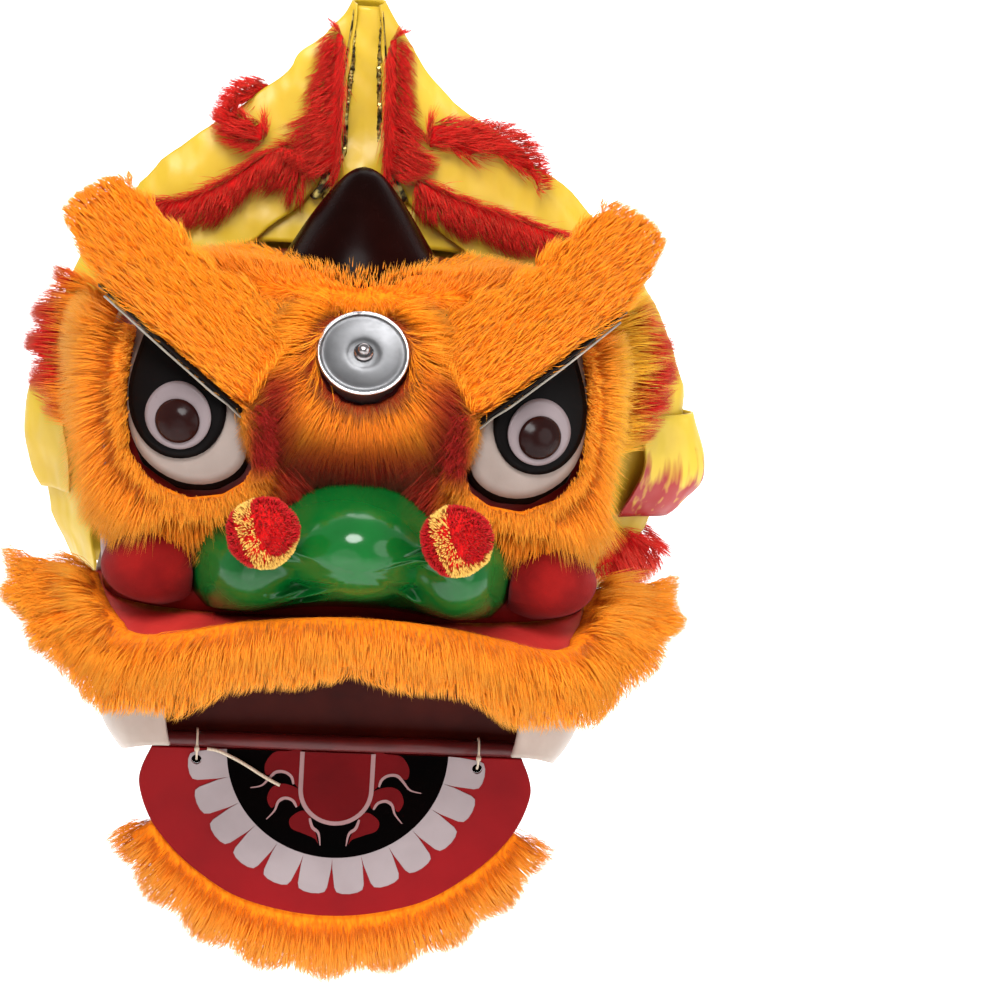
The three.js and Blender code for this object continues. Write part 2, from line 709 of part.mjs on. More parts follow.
// The space between two depths of the muzzle wall
function muzzleBody(outer, inner) {
  return gridSolid(muzzleSurface(outer), muzzleSurface(inner), MUZZLE_GRID.round, MUZZLE_GRID.up);
}

function muzzleGeometry() {
  const wall = muzzleBody(0, PLATE);
  return cutClear(wall, lipUnder(), grown(lip), grown(mirrored(lip)), barGeometry(0.3));
}

// Everything above the underside of the lip plate
function lipUnder() {
  const inner = (u) => shellLifted(-40)(lerp(0.09, 0.91, u), 0).setZ(LIP_SEAT);
  const surface = (rise) => (u, v) => {
    const edge = lipPoint(LIP_EDGE, u);
    const point = inner(u).lerp(edge.multiply(vec(1.05, 1.05, 1)), v);
    point.z += rise;
    return point;
  };
  return gridSolid(surface(60), surface(-PLATE / 2 - SEAT), 26, 1);
}

function barGeometry(grow = 0) {
  const length = 2 * (BAR.halfLength + grow);
  const bar = new THREE.CylinderGeometry(BAR.radius + grow, BAR.radius + grow, length, 14);
  return bar.rotateZ(Math.PI / 2).translate(0, BAR.y, BAR.z);
}

// Dark panel behind the mouth, bowed back, from behind the bar up to the lip
function palateGeometry() {
  const [foot, head] = [117, 150]; // half widths
  const surface = (wall) => (u, v) => {
    const x = lerp(-1, 1, u) * lerp(foot, head, clamp(3 * v, 0, 1));
    const bow = 6 * (1 - (x / head) ** 2);
    return vec(x, BAR.y + 7 + bow + wall, lerp(BAR.z - 9, SHELL_LEVELS[0].z, v));
  };
  const panel = gridSolid(surface(0), surface(PLATE), 8, 3);
  const outside = muzzleBody(-40, PLATE + SEAT);
  return cutClear(panel, lipUnder(), grown(lip), outside, mirrored(outside), barGeometry(SEAT));
}

// Jaw board outline, right half from the top edge down to the chin
const BOARD_HALF = [
  [108, 0], [113.5, -13], [114.5, -24], [109, -41], [99, -56], [83, -72], [58, -89], [29, -98], [0, -101],
];

function boardGeometry() {
  const top = BAR.z - BAR.radius - BOARD.topGap;
  const right = BOARD_HALF.map(([x, z]) => new THREE.Vector2(x, z));
  const left = right.slice(0, -1).reverse().map(({ x, y }) => new THREE.Vector2(-x, y));
  const outline = new THREE.Shape(new THREE.SplineCurve([...right, ...left]).getPoints(28));
  for (const side of [-1, 1]) {
    const hole = new THREE.Path();
    hole.absarc(side * BOARD.holeX, BAR.z - BOARD.holeDrop - top, BOARD.holeRadius, 0, 2 * Math.PI);
    outline.holes.push(hole);
  }
  const board = new THREE.ExtrudeGeometry(outline, {
    depth: BOARD.thickness, bevelEnabled: false, curveSegments: 4,
  });
  return board.rotateX(Math.PI / 2).translate(0, BAR.y + BOARD.thickness / 2, top);
}

// Beard behind the board: a fan of fur about the middle of the bar
function jawFurGeometry() {
  const y = BAR.y + BOARD.thickness / 2 + SEAT;
  const ray = (u, radius, depth) => {
    const angle = radians(lerp(-153, -27, u));
    return vec(radius * Math.cos(angle), depth, BAR.z + radius * 0.97 * Math.sin(angle));
  };
  const tip = (u) => 141 - 4 * Math.abs(2 * u - 1);
  const outer = (u) => [ray(u, 66, y), ray(u, 112, y), ray(u, 124, y - 4), ray(u, tip(u), y + 1)];
  const inner = (u) => [ray(u, 66, y + 3), ray(u, 100, y + 10), ray(u, 122, y + 9), ray(u, tip(u), y + 2)];
  return cutClear(pelt(outer, inner, 16, 0.4), grown(board));
}

// A string loop through the board's hole and round the bar, with its knot above
function tieGeometry(side) {
  const ring = new THREE.TorusGeometry(1, TIE.wire / TIE.halfWidth, 5, 10).rotateY(Math.PI / 2);
  ring.scale(TIE.halfWidth, TIE.halfWidth, TIE.halfHeight);
  ring.translate(0, 0, -TIE.drop);
  const knot = new THREE.IcosahedronGeometry(2.2, 0).translate(0, -TIE.halfWidth - 0.4, -TIE.drop - 1);
  return joined(ring, knot).translate(side * BOARD.holeX, BAR.y, BAR.z);
}

// Loose end of the left string, lying across the front of the board
const TAIL_ROUTE = [
  [-76, -5, -4.2], [-70, -4.6, -5.4], [-62, -4, -9], [-53, -3.4, -14], [-45, -3.2, -19],
  [-38, -3.2, -23], [-33, -3.2, -25.5],
];

function tailGeometry() {
  const route = TAIL_ROUTE.map(([x, y, z]) => vec(x, BAR.y + y, BAR.z + z));
  const section = new THREE.Shape();
  section.absarc(0, 0, TAIL_DIAMETER / 2, 0, 2 * Math.PI);
  return new THREE.ExtrudeGeometry(section, {
    extrudePath: new THREE.CatmullRomCurve3(route), steps: 8, curveSegments: 3,
  });
}

// Point of the cape's middle surface: round from the left front edge by the back to the right front edge
function capePoint(round, up) {
  const position = up * (CAPE_ROWS.length - 1);
  const get = (name) => column(CAPE_ROWS, name, position);
  const [sideY, sideZ, backY, backZ] = ['sideY', 'sideZ', 'backY', 'backZ'].map(get);
  const shoulder = { x: 0.62, y: lerp(sideY, backY, 0.75), z: lerp(sideZ, backZ, 0.75) };
  const route = new THREE.CatmullRomCurve3([
    vec(-get('edgeX'), get('edgeY'), get('edgeZ')),
    vec(-get('left'), sideY, sideZ),
    vec(-shoulder.x * get('left'), shoulder.y, shoulder.z),
    vec(0, backY, backZ),
    vec(shoulder.x * get('right'), shoulder.y, shoulder.z),
    vec(get('right'), sideY, sideZ),
    vec(get('edgeX'), get('edgeY'), get('edgeZ')),
  ], false, 'centripetal');
  return route.getPoint(round);
}

const CAPE_FOLDS = { count: 7, depth: 5 };
const CAPE_GRID = { round: 24, up: 8 };

// Cape with its folds, lifted along its normal; the folds die out at the front edges and at the peak
function capeLifted(lift) {
  return (round, up) => {
    const normal = surfaceNormal(capePoint, round, up).negate();
    const fade = clamp(6 * Math.min(round, 1 - round) - 0.35, 0, 1) * clamp(4 * (1 - up) - 0.4, 0, 1);
    const fold = CAPE_FOLDS.depth * fade * Math.sin(2 * Math.PI * CAPE_FOLDS.count * round + 2 * up);
    return capePoint(round, up).addScaledVector(normal, lift + fold);
  };
}

function capeGeometry() {
  const cloth = gridSolid(capeLifted(CLOTH / 2), capeLifted(-CLOTH / 2), CAPE_GRID.round, CAPE_GRID.up);
  return cutClear(cloth, shellCutter);
}

// The satin strip that closes the cape's front between its two edges
function spineGeometry() {
  const surface = (lift) => (u, v) => {
    const up = lerp(0.615, 0.995, v);
    const edge = capePoint(1, up);
    const overlap = 5;
    const x = lerp(-1, 1, u) * (edge.x + overlap);
    return vec(x, edge.y + 3.5 + lift + 2 * Math.cos(Math.PI * u * 2), edge.z);
  };
  const strip = gridSolid(surface(-CLOTH / 2), surface(CLOTH / 2), 4, 6);
  return cutClear(strip, shellCutter, capeGuard(SEAT));
}

// The cape with a seat over it, and a depth under it
function capeGuard(depth) {
  const [over, under] = [capeLifted(CLOTH / 2 + SEAT), capeLifted(-CLOTH / 2 - depth)];
  return gridSolid(over, under, CAPE_GRID.round, CAPE_GRID.up);
}

// A strip laid on the cape along a route of places on it, given by round and up
function capeStrip(route, pile, columns, lockShare, lean) {
  const place = (u) => ['round', 'up'].map((name) => column(route, name, u * (route.length - 1)));
  const rows = (lifts) => (u) => {
    const [round, up] = place(u);
    return [0, 1].map((share, j) => capeLifted(lifts[j])(
      clamp(round + lean.round * share, 0.001, 0.999), clamp(up + lean.up * share, 0, 0.999),
    ));
  };
  const base = CLOTH / 2 + SEAT;
  return pelt(rows([base + pile, base + 0.5 * pile]), rows([SUNK, SUNK]), columns, lockShare);
}

// Red fur trims of the cape: route by place on its half, counted from the front edge,
// and the way that the fur leans
const TRIMS = {
  left: {
    spine: {
      route: [
        { round: 0.014, up: 0.72 }, { round: 0.01, up: 0.77 },
        { round: 0.016, up: 0.84 }, { round: 0.05, up: 0.93 },
      ],
      lean: { round: 0.06, up: -0.006 },
    },
    tier: {
      route: [
        { round: 0.05, up: 0.705 }, { round: 0.064, up: 0.715 }, { round: 0.084, up: 0.705 },
        { round: 0.082, up: 0.66 }, { round: 0.085, up: 0.6 }, { round: 0.115, up: 0.545 },
      ],
      lean: { round: -0.022, up: -0.034 },
    },
    flag: {
      route: [
        { round: 0.095, up: 0.7 }, { round: 0.118, up: 0.685 },
        { round: 0.15, up: 0.69 }, { round: 0.178, up: 0.735 },
      ],
      lean: { round: 0.024, up: 0.02 },
    },
  },
  right: {
    spine: {
      route: [
        { round: 0.014, up: 0.72 }, { round: 0.01, up: 0.78 },
        { round: 0.012, up: 0.85 }, { round: 0.04, up: 0.93 },
      ],
      lean: { round: 0.05, up: -0.006 },
    },
    tier: {
      route: [
        { round: 0.044, up: 0.7 }, { round: 0.05, up: 0.675 }, { round: 0.058, up: 0.65 },
        { round: 0.074, up: 0.605 }, { round: 0.085, up: 0.555 },
      ],
      lean: { round: -0.02, up: -0.036 },
    },
    flag: {
      route: [
        { round: 0.105, up: 0.745 }, { round: 0.14, up: 0.71 },
        { round: 0.165, up: 0.67 }, { round: 0.15, up: 0.64 },
      ],
      lean: { round: -0.03, up: -0.026 },
    },
    side: {
      route: [
        { round: 0.035, up: 0.086 }, { round: 0.1, up: 0.07 },
        { round: 0.17, up: 0.064 }, { round: 0.25, up: 0.084 },
      ],
      lean: { round: 0.003, up: -0.052 },
    },
  },
};

function onSide(side, route) {
  return side < 0 ? route : route.map(({ round, up }) => ({ round: 1 - round, up }));
}

const TRIM_PILE = 9;

// The trims of one side, each cut clear of those before it
function trimGeometries(side, trims) {
  const done = {};
  for (const [name, { route, lean }] of Object.entries(trims)) {
    const turned = { round: -side * lean.round, up: lean.up };
    const fur = capeStrip(onSide(side, route), TRIM_PILE, 6, 0.4, turned);
    const others = Object.values(done).map((trim) => grown(trim));
    done[name] = cutClear(
      fur, grown(shellCutter, 0.2), capeGuard(10), grown(braidGeometry(side)), ...others,
    );
  }
  return done;
}

const BRAID_ROUTE = [0.68, 0.8, 0.9, 0.985].map((up) => ({ round: 0.003, up }));

function braidGeometry(side) {
  const band = capeStrip(onSide(side, BRAID_ROUTE), 1.6, 5, 0, { round: -side * 0.016, up: 0 });
  return cutClear(band, capeGuard(10), grown(cape, SEAT));
}

// A gathered satin tier over the cape's side: full at the middle, drawn in at head and hem
function flapGeometry(side) {
  const [from, to] = [0.05, 0.24];
  const surface = (lift) => (u, v) => {
    const round = lerp(from, to, u);
    const gather = 1.6 * Math.sin(14 * Math.PI * u) * v * (1 - v);
    const full = (side < 0 ? 5 : 12) * Math.sin(Math.PI * v) - 1 + gather;
    const place = side < 0 ? round : 1 - round;
    return capeLifted(CLOTH / 2 + SEAT + full + lift)(place, lerp(0.095, 0.225, v));
  };
  return cutClear(gridSolid(surface(CLOTH), surface(0), 10, 3), capeGuard(10), grown(shellCutter, 0.2));
}

// Pieces that cut their neighbours to a seat, from the shell outwards
const shellCutter = shellGeometry(SEAT, 40);
const horn = cutClear(hornBlank(), shellCutter);
const mirror = mirrorGeometry();
const nose = noseGeometry();
const pompom = pompomGeometry();
const lip = lipGeometry();
const cheek = cheekGeometry();
const mirrorFur = mirrorFurGeometry();
const brow = cutClear(browBlank(), shellCutter, grown(mirrorFur), grown(mirrored(mirrorFur)), eyeGuard());
const eyeFur = eyeFurGeometry();
const board = boardGeometry();
const cape = capeGeometry();
const lion = new THREE.Group();

function addPiece(name, geometry, color, roughness, metalness = 0) {
  const material = new THREE.MeshStandardMaterial({ color, roughness, metalness });
  const mesh = new THREE.Mesh(welded(geometry), material);
  mesh.name = name;
  lion.add(mesh);
}

// Add a right-hand piece and its mirror image
function addPair(name, geometry, color, roughness) {
  addPiece(`${name}_right`, geometry, color, roughness);
  addPiece(`${name}_left`, mirrored(geometry), color, roughness);
}

const ORANGE = 0xf5821f;
const RED = 0xc4161c;
const SATIN = 0xf0d048;

addPiece('head_shell', shellGeometry(), 0x8c1218, 0.6);
addPiece('horn', horn, 0x140808, 0.12);
addPiece('mirror_disc', mirror, 0xb4b8bc, 0.25, 1);
addPiece('mirror_stud', mirrorStudGeometry(), 0xb4b8bc, 0.2, 1);
addPiece('mirror_fur', mirrorFur, ORANGE, 0.9);
addPiece('crown_fur', crownFurGeometry(), ORANGE, 0.9);
addPair('brow', brow, ORANGE, 0.9);
addPair('brow_edge', browEdgeGeometry(), 0x0c0b0b, 0.5);
for (const [name, plate] of Object.entries(EYE_STACK)) addPair(name, eyeSolid(plate), plate.color, 0.3);
addPair('eye_fur', eyeFur, ORANGE, 0.9);
addPair('ear', earGeometry(), ORANGE, 0.9);
addPiece('nose', nose, 0x0f8232, 0.12);
addPair('pompom', pompom, RED, 0.95);
addPair('pompom_post', pompomPostGeometry(), 0x222222, 0.6);
addPair('cheek', cheek, 0x960f14, 0.8);
addPiece('upper_lip', lip, 0xcd322d, 0.5);
addPiece('lip_fringe', lipFringeGeometry(), ORANGE, 0.9);
addPair('muzzle_wall', muzzleGeometry(), 0xd0c0b4, 0.4);
addPiece('palate', palateGeometry(), 0x4b1919, 0.5);
addPiece('jaw_bar', barGeometry(), 0x5a1515, 0.5);
addPiece('jaw_board', board, 0xc81923, 0.35);
addPiece('jaw_fur', jawFurGeometry(), ORANGE, 0.9);
addPiece('tie_tail', tailGeometry(), 0xd8c8b0, 0.9);
addPiece('cape', cape, SATIN, 0.35);
addPiece('cape_spine', spineGeometry(), SATIN, 0.35);
for (const [side, hand] of [[-1, 'left'], [1, 'right']]) {
  addPiece(`jaw_tie_${hand}`, tieGeometry(side), 0xd8c8b0, 0.9);
  addPiece(`cape_braid_${hand}`, braidGeometry(side), 0x2a2410, 0.5, 0.4);
  addPiece(`cape_flap_${hand}`, flapGeometry(side), SATIN, 0.35);
  for (const [name, trim] of Object.entries(trimGeometries(side, TRIMS[hand]))) {
    addPiece(`cape_trim_${name}_${hand}`, trim, RED, 0.95);
  }
}

export default lion;
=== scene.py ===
"""Looks of a lion dance head: fur, lacquer, satin and a printed jaw board on the frame."""

import logging
import math
from dataclasses import dataclass, field
from enum import Enum
from functools import partial
from typing import Callable, ClassVar, Sequence

import bmesh
import bpy
import numpy as np
from mathutils import Euler, Matrix, Vector, bvhtree, kdtree


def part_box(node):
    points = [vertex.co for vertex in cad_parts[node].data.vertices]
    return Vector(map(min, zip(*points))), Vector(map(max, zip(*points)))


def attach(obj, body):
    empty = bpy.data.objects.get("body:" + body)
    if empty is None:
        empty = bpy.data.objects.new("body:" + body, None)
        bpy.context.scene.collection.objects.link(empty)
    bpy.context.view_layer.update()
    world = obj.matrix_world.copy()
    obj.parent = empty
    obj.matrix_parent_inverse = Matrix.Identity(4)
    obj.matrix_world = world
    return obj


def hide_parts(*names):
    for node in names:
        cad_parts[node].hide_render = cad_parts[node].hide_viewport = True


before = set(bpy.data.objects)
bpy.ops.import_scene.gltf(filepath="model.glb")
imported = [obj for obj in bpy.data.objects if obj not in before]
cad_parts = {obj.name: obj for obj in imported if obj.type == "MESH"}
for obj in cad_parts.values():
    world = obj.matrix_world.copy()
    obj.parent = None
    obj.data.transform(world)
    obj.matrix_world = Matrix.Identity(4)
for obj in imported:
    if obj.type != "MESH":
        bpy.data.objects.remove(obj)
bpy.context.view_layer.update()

log = logging.getLogger("lion_head")
MM = 0.001
MERGE = 1e-5
TINY = 1e-9
NUDGE = 1e-6
FLAP_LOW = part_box("cape_flap_right")[0].z
BAR = Vector((0, -60 * MM, -273 * MM))
WHITE = (1.0, 1.0, 1.0, 1.0)

Triple = tuple[float, float, float]
Colour = Triple
Span = tuple[float, float]
Outline = Sequence[Span]
Rows = np.ndarray
Rng = np.random.Generator
Field = Callable[[Rows], Rows]
Tint = Callable[[Rows, Rows], Rows]
Socket = bpy.types.NodeSocket
Material = bpy.types.Material
Piece = bpy.types.Object
Mesh = bmesh.types.BMesh


class Body(Enum):
    """Rigid bodies of the frame."""

    HEAD = "head"
    JAW = "jaw"


class Hand(Enum):
    """Sides of the head as the viewer sees them."""

    LEFT = -1
    RIGHT = 1

    def node(self, stem: str) -> str:
        """Name of this side's node."""
        return f"{stem}_{self.name.lower()}"


@dataclass(frozen=True)
class Grain:
    """Noise over a piece: cells in a metre, octaves and the stretch along each axis."""

    scale: float
    detail: float = 4.0
    stretch: Triple = (1.0, 1.0, 1.0)


def fill(node: bpy.types.Node, values: dict[str, object]) -> None:
    """Set a node's inputs by name, with underscores for spaces."""
    for name, value in values.items():
        node.inputs[name.replace("_", " ")].default_value = value


class Shader:
    """A node material under construction."""

    def __init__(self, name: str) -> None:
        """Start from a bare principled surface.

        Args:
            name: Name of the material.
        """
        self.material = bpy.data.materials.new(name)
        self.material.use_nodes = True
        self.tree = self.material.node_tree
        self.surface = self.tree.nodes["Principled BSDF"]

    def set(self, **sockets: object) -> "Shader":
        """Set constant inputs of the surface, and return the shader."""
        fill(self.surface, sockets)
        return self

    def node(self, kind: str, **values: object) -> bpy.types.Node:
        """Add a node and set its input values.

        Args:
            kind: Node type without its ShaderNode prefix.
            values: Input names, with underscores for spaces, and values.

        Returns:
            The new node.
        """
        made = self.tree.nodes.new(f"ShaderNode{kind}")
        fill(made, values)
        return made

    def link(self, source: Socket, target: Socket) -> None:
        """Join two sockets."""
        self.tree.links.new(source, target)

    def place(self, scale: Triple = (1.0, 1.0, 1.0)) -> Socket:
        """Object coordinates, stretched.

        Args:
            scale: Stretch along each axis.

        Returns:
            The vector socket.
        """
        mapping = self.node("Mapping", Scale=scale)
        self.link(self.node("TexCoord").outputs["Object"], mapping.inputs["Vector"])
        return mapping.outputs["Vector"]

    def noise(self, grain: Grain) -> Socket:
        """A noise value over the piece.

        Args:
            grain: The noise.

        Returns:
            The value socket.
        """
        made = self.node("TexNoise", Scale=grain.scale, Detail=grain.detail)
        self.link(self.place(grain.stretch), made.inputs["Vector"])
        return made.outputs["Fac"]

    def wave(self, scale: float, distortion: float) -> Socket:
        """Bands over the piece.

        Args:
            scale: Density of the bands.
            distortion: How far they waver.

        Returns:
            The value socket.
        """
        made = self.node("TexWave", Scale=scale, Distortion=distortion)
        self.link(self.place(), made.inputs["Vector"])
        return made.outputs["Fac"]

    def ramp(self, value: Socket, stops: Sequence[tuple[float, Colour]]) -> Socket:
        """Colours along a value.

        Args:
            value: The driving socket.
            stops: Places from 0 to 1 and their colours.

        Returns:
            The colour socket.
        """
        made = self.node("ValToRGB")
        elements = made.color_ramp.elements
        while len(elements) < len(stops):
            elements.new(0.5)
        for element, (place, colour) in zip(elements, stops):
            element.position = place
            element.color = (*colour, 1.0)
        self.link(value, made.inputs["Fac"])
        return made.outputs["Color"]

    def colour(self, socket: Socket) -> None:
        """Drive the base colour."""
        self.link(socket, self.surface.inputs["Base Color"])

    def roughness(self, value: Socket, low: float, high: float) -> None:
        """Spread a value over a range of roughness.

        Args:
            value: The driving socket.
            low: Roughness at 0.
            high: Roughness at 1.
        """
        spread = self.node("MapRange", To_Min=low, To_Max=high)
        self.link(value, spread.inputs["Value"])
        self.link(spread.outputs["Result"], self.surface.inputs["Roughness"])

    def bump(self, value: Socket, strength: float, depth: float) -> None:
        """Raise the surface by a value.

        Args:
            value: The height socket.
            strength: Share of the effect.
            depth: Height of the relief, in metres.
        """
        made = self.node("Bump", Strength=strength, Distance=depth)
        self.link(value, made.inputs["Height"])
        for earlier in self.surface.inputs["Normal"].links:
            self.link(earlier.from_socket, made.inputs["Normal"])
        self.link(made.outputs["Normal"], self.surface.inputs["Normal"])


@dataclass(frozen=True)
class Finish:
    """A finish in two tones, which noise mottles and may roughen and raise."""

    INPUTS: ClassVar[dict[str, float]] = {}
    MOTTLE: ClassVar[Grain]
    TONES: ClassVar[Span]
    RUB: ClassVar[Grain | None] = None
    SPREAD: ClassVar[Span] = (0.0, 0.12)
    RELIEF: ClassVar[Grain | None] = None
    RAISE: ClassVar[Span] = (0.0, 0.0)
    name: str
    base: Colour
    shade: Colour
    rough: float = 0.12

    def constants(self) -> dict[str, float]:
        """Constant inputs of the surface."""
        return self.INPUTS

    def tone(self, shader: Shader, value: Socket) -> Socket:
        """The shade at a low value and the base at a high one, as a colour socket."""
        return shader.ramp(value, list(zip(self.TONES, (self.shade, self.base))))

    def surface(self) -> Shader:
        """Mottle, roughen and raise a surface.

        Returns:
            The shader.
        """
        shader = Shader(self.name).set(**self.constants())
        mottle = shader.noise(self.MOTTLE)
        shader.colour(self.tone(shader, mottle))
        if self.RUB is not None:
            low, high = (self.rough + step for step in self.SPREAD)
            shader.roughness(shader.noise(self.RUB), low, high)
        if self.RELIEF is not None:
            height = mottle if self.RELIEF == self.MOTTLE else shader.noise(self.RELIEF)
            shader.bump(height, *self.RAISE)
        return shader

    def material(self) -> Material:
        """Build the material."""
        return self.surface().material


@dataclass(frozen=True)
class Lacquer(Finish):
    """Brushed lacquer, glossy or dull, with slight clouds of tone."""

    MOTTLE = Grain(22.0, detail=5.0)
    TONES = (0.3, 0.62)
    RUB = Grain(90.0)
    RELIEF = Grain(160.0, detail=2.0)
    RAISE = (0.12, 0.4 * MM)
    coat: float = 0.0
    shine: float = 0.5

    def constants(self) -> dict[str, float]:
        """Constant inputs of the surface."""
        coat = {"Coat_Weight": self.coat, "Coat_Roughness": 0.06}
        return {**coat, "Specular_IOR_Level": self.shine}


@dataclass(frozen=True)
class Paint(Finish):
    """Satin paint on pressed paper, faintly uneven."""

    MOTTLE = Grain(30.0, detail=6.0)
    TONES = (0.28, 0.66)
    RUB = Grain(140.0)
    SPREAD = (-0.08, 0.12)
    RELIEF = Grain(260.0, detail=5.0)
    RAISE = (0.25, 0.4 * MM)
    rough: float = 0.42
    shine: float = 0.3

    def constants(self) -> dict[str, float]:
        """Constant inputs of the surface."""
        return {"Specular_IOR_Level": self.shine}


@dataclass(frozen=True)
class Backing(Finish):
    """Cloth under the fur, streaked like its roots."""

    INPUTS = {"Roughness": 0.9, "Specular_IOR_Level": 0.1}
    MOTTLE = RELIEF = Grain(420.0, detail=3.0, stretch=(1.0, 1.0, 0.35))
    TONES = (0.32, 0.62)
    RAISE = (0.6, 1.2 * MM)


@dataclass(frozen=True)
class Plush(Finish):
    """Short velvet with brushed patches."""

    INPUTS = {
        "Roughness": 0.9, "Specular_IOR_Level": 0.08, "Sheen_Weight": 0.05, "Sheen_Roughness": 0.5,
    }
    MOTTLE = Grain(45.0, detail=6.0)
    TONES = (0.3, 0.68)
    RELIEF = Grain(900.0, detail=3.0)
    RAISE = (0.5, 0.5 * MM)


@dataclass(frozen=True)
class Metal(Finish):
    """Plated steel with fine rubbed marks."""

    INPUTS = {"Metallic": 1.0}
    MOTTLE = Grain(70.0)
    TONES = (0.3, 0.6)
    RUB = Grain(300.0, detail=6.0, stretch=(1.0, 4.0, 1.0))
    SPREAD = (0.0, 0.14)


@dataclass(frozen=True)
class Spangle(Finish):
    """Sequins that turn from black to gold."""

    INPUTS = {"Metallic": 0.8}
    MOTTLE = Grain(260.0, detail=2.0)
    TONES = (0.42, 0.58)
    RUB = Grain(300.0)
    SPREAD = (0.0, 0.2)
    rough: float = 0.2


@dataclass(frozen=True)
class Twine(Finish):
    """Twisted cotton."""

    TONES = (0.2, 0.7)
    RAISE = (0.5, 0.3 * MM)
    rough: float = 0.85

    def surface(self) -> Shader:
        """Twist the tones round a cord.

        Returns:
            The shader.
        """
        shader = Shader(self.name).set(Roughness=self.rough)
        twist = shader.wave(scale=380.0, distortion=2.0)
        shader.colour(self.tone(shader, twist))
        shader.bump(twist, *self.RAISE)
        return shader


@dataclass(frozen=True)
class Pile:
    """Fur strands, coloured strand by strand through an attribute."""

    name: str
    rough: float = 0.6
    shine: float = 0.12
    haze: float = 0.15
    haze_tint: Colour = (1.0, 0.55, 0.25)

    def material(self) -> Material:
        """Build the material.

        Returns:
            The material.
        """
        shader = Shader(self.name).set(Roughness=self.rough, Specular_IOR_Level=self.shine)
        shader.set(Sheen_Weight=self.haze, Sheen_Roughness=0.4, Sheen_Tint=(*self.haze_tint, 1.0))
        tint = shader.node("Attribute")
        tint.attribute_name = "tint"
        shader.colour(tint.outputs["Color"])
        return shader.material


@dataclass(frozen=True)
class Satin(Finish):
    """Satin weave with a soft shine, small creases and, for a tier, a red hem with gathers."""

    INPUTS = {"Anisotropic": 0.4, "Sheen_Weight": 0.1, "Sheen_Roughness": 0.3}
    MOTTLE = Grain(18.0, detail=6.0)
    TONES = (0.3, 0.62)
    RUB = Grain(60.0)
    SPREAD = (0.0, 0.16)
    CREASES: ClassVar[Grain] = Grain(34.0, detail=2.0, stretch=(1.0, 1.0, 0.5))
    PLEATS: ClassVar[Grain] = Grain(150.0, detail=2.0, stretch=(1.0, 1.0, 0.12))
    MIX_IN: ClassVar[tuple[int, int, int]] = (0, 6, 7)
    MIX_OUT: ClassVar[int] = 2
    rough: float = 0.34
    hem: Span | None = None
    red: Colour = (0.33, 0.006, 0.005)
    fade: Span = (-8 * MM, 13 * MM)

    def tone(self, shader: Shader, value: Socket) -> Socket:
        """The two tones, over the hem where there is one."""
        plain = super().tone(shader, value)
        return plain if self.hem is None else self.hemmed(shader, plain)

    def surface(self) -> Shader:
        """Weave and crease the cloth.

        Returns:
            The shader.
        """
        shader = super().surface()
        shader.bump(shader.wave(scale=700.0, distortion=1.5), strength=0.12, depth=0.15 * MM)
        shader.bump(shader.noise(self.CREASES), strength=0.9, depth=9 * MM)
        return shader

    def hemmed(self, shader: Shader, tone: Socket) -> Socket:
        """Run red gathers up from the hem.

        Args:
            shader: The material under construction.
            tone: Colour of the cloth above the hem.

        Returns:
            The colour with its hem.
        """
        level, reach = self.hem
        height = shader.node("SeparateXYZ")
        shader.link(shader.place(), height.inputs["Vector"])
        gathers = shader.node("MapRange", To_Min=-reach, To_Max=reach, From_Min=0.3, From_Max=0.7)
        shader.link(shader.noise(self.PLEATS), gathers.inputs["Value"])
        total = shader.node("Math")
        shader.link(height.outputs["Z"], total.inputs[0])
        shader.link(gathers.outputs["Result"], total.inputs[1])
        low, high = (level + step for step in self.fade)
        share = shader.node("MapRange", From_Min=low, From_Max=high)
        shader.link(total.outputs["Value"], share.inputs["Value"])
        blend = shader.node("Mix")
        blend.data_type = "RGBA"
        factor, red, cloth = (blend.inputs[socket] for socket in self.MIX_IN)
        red.default_value = (*self.red, 1.0)
        shader.link(share.outputs["Result"], factor)
        shader.link(tone, cloth)
        return blend.outputs[self.MIX_OUT]


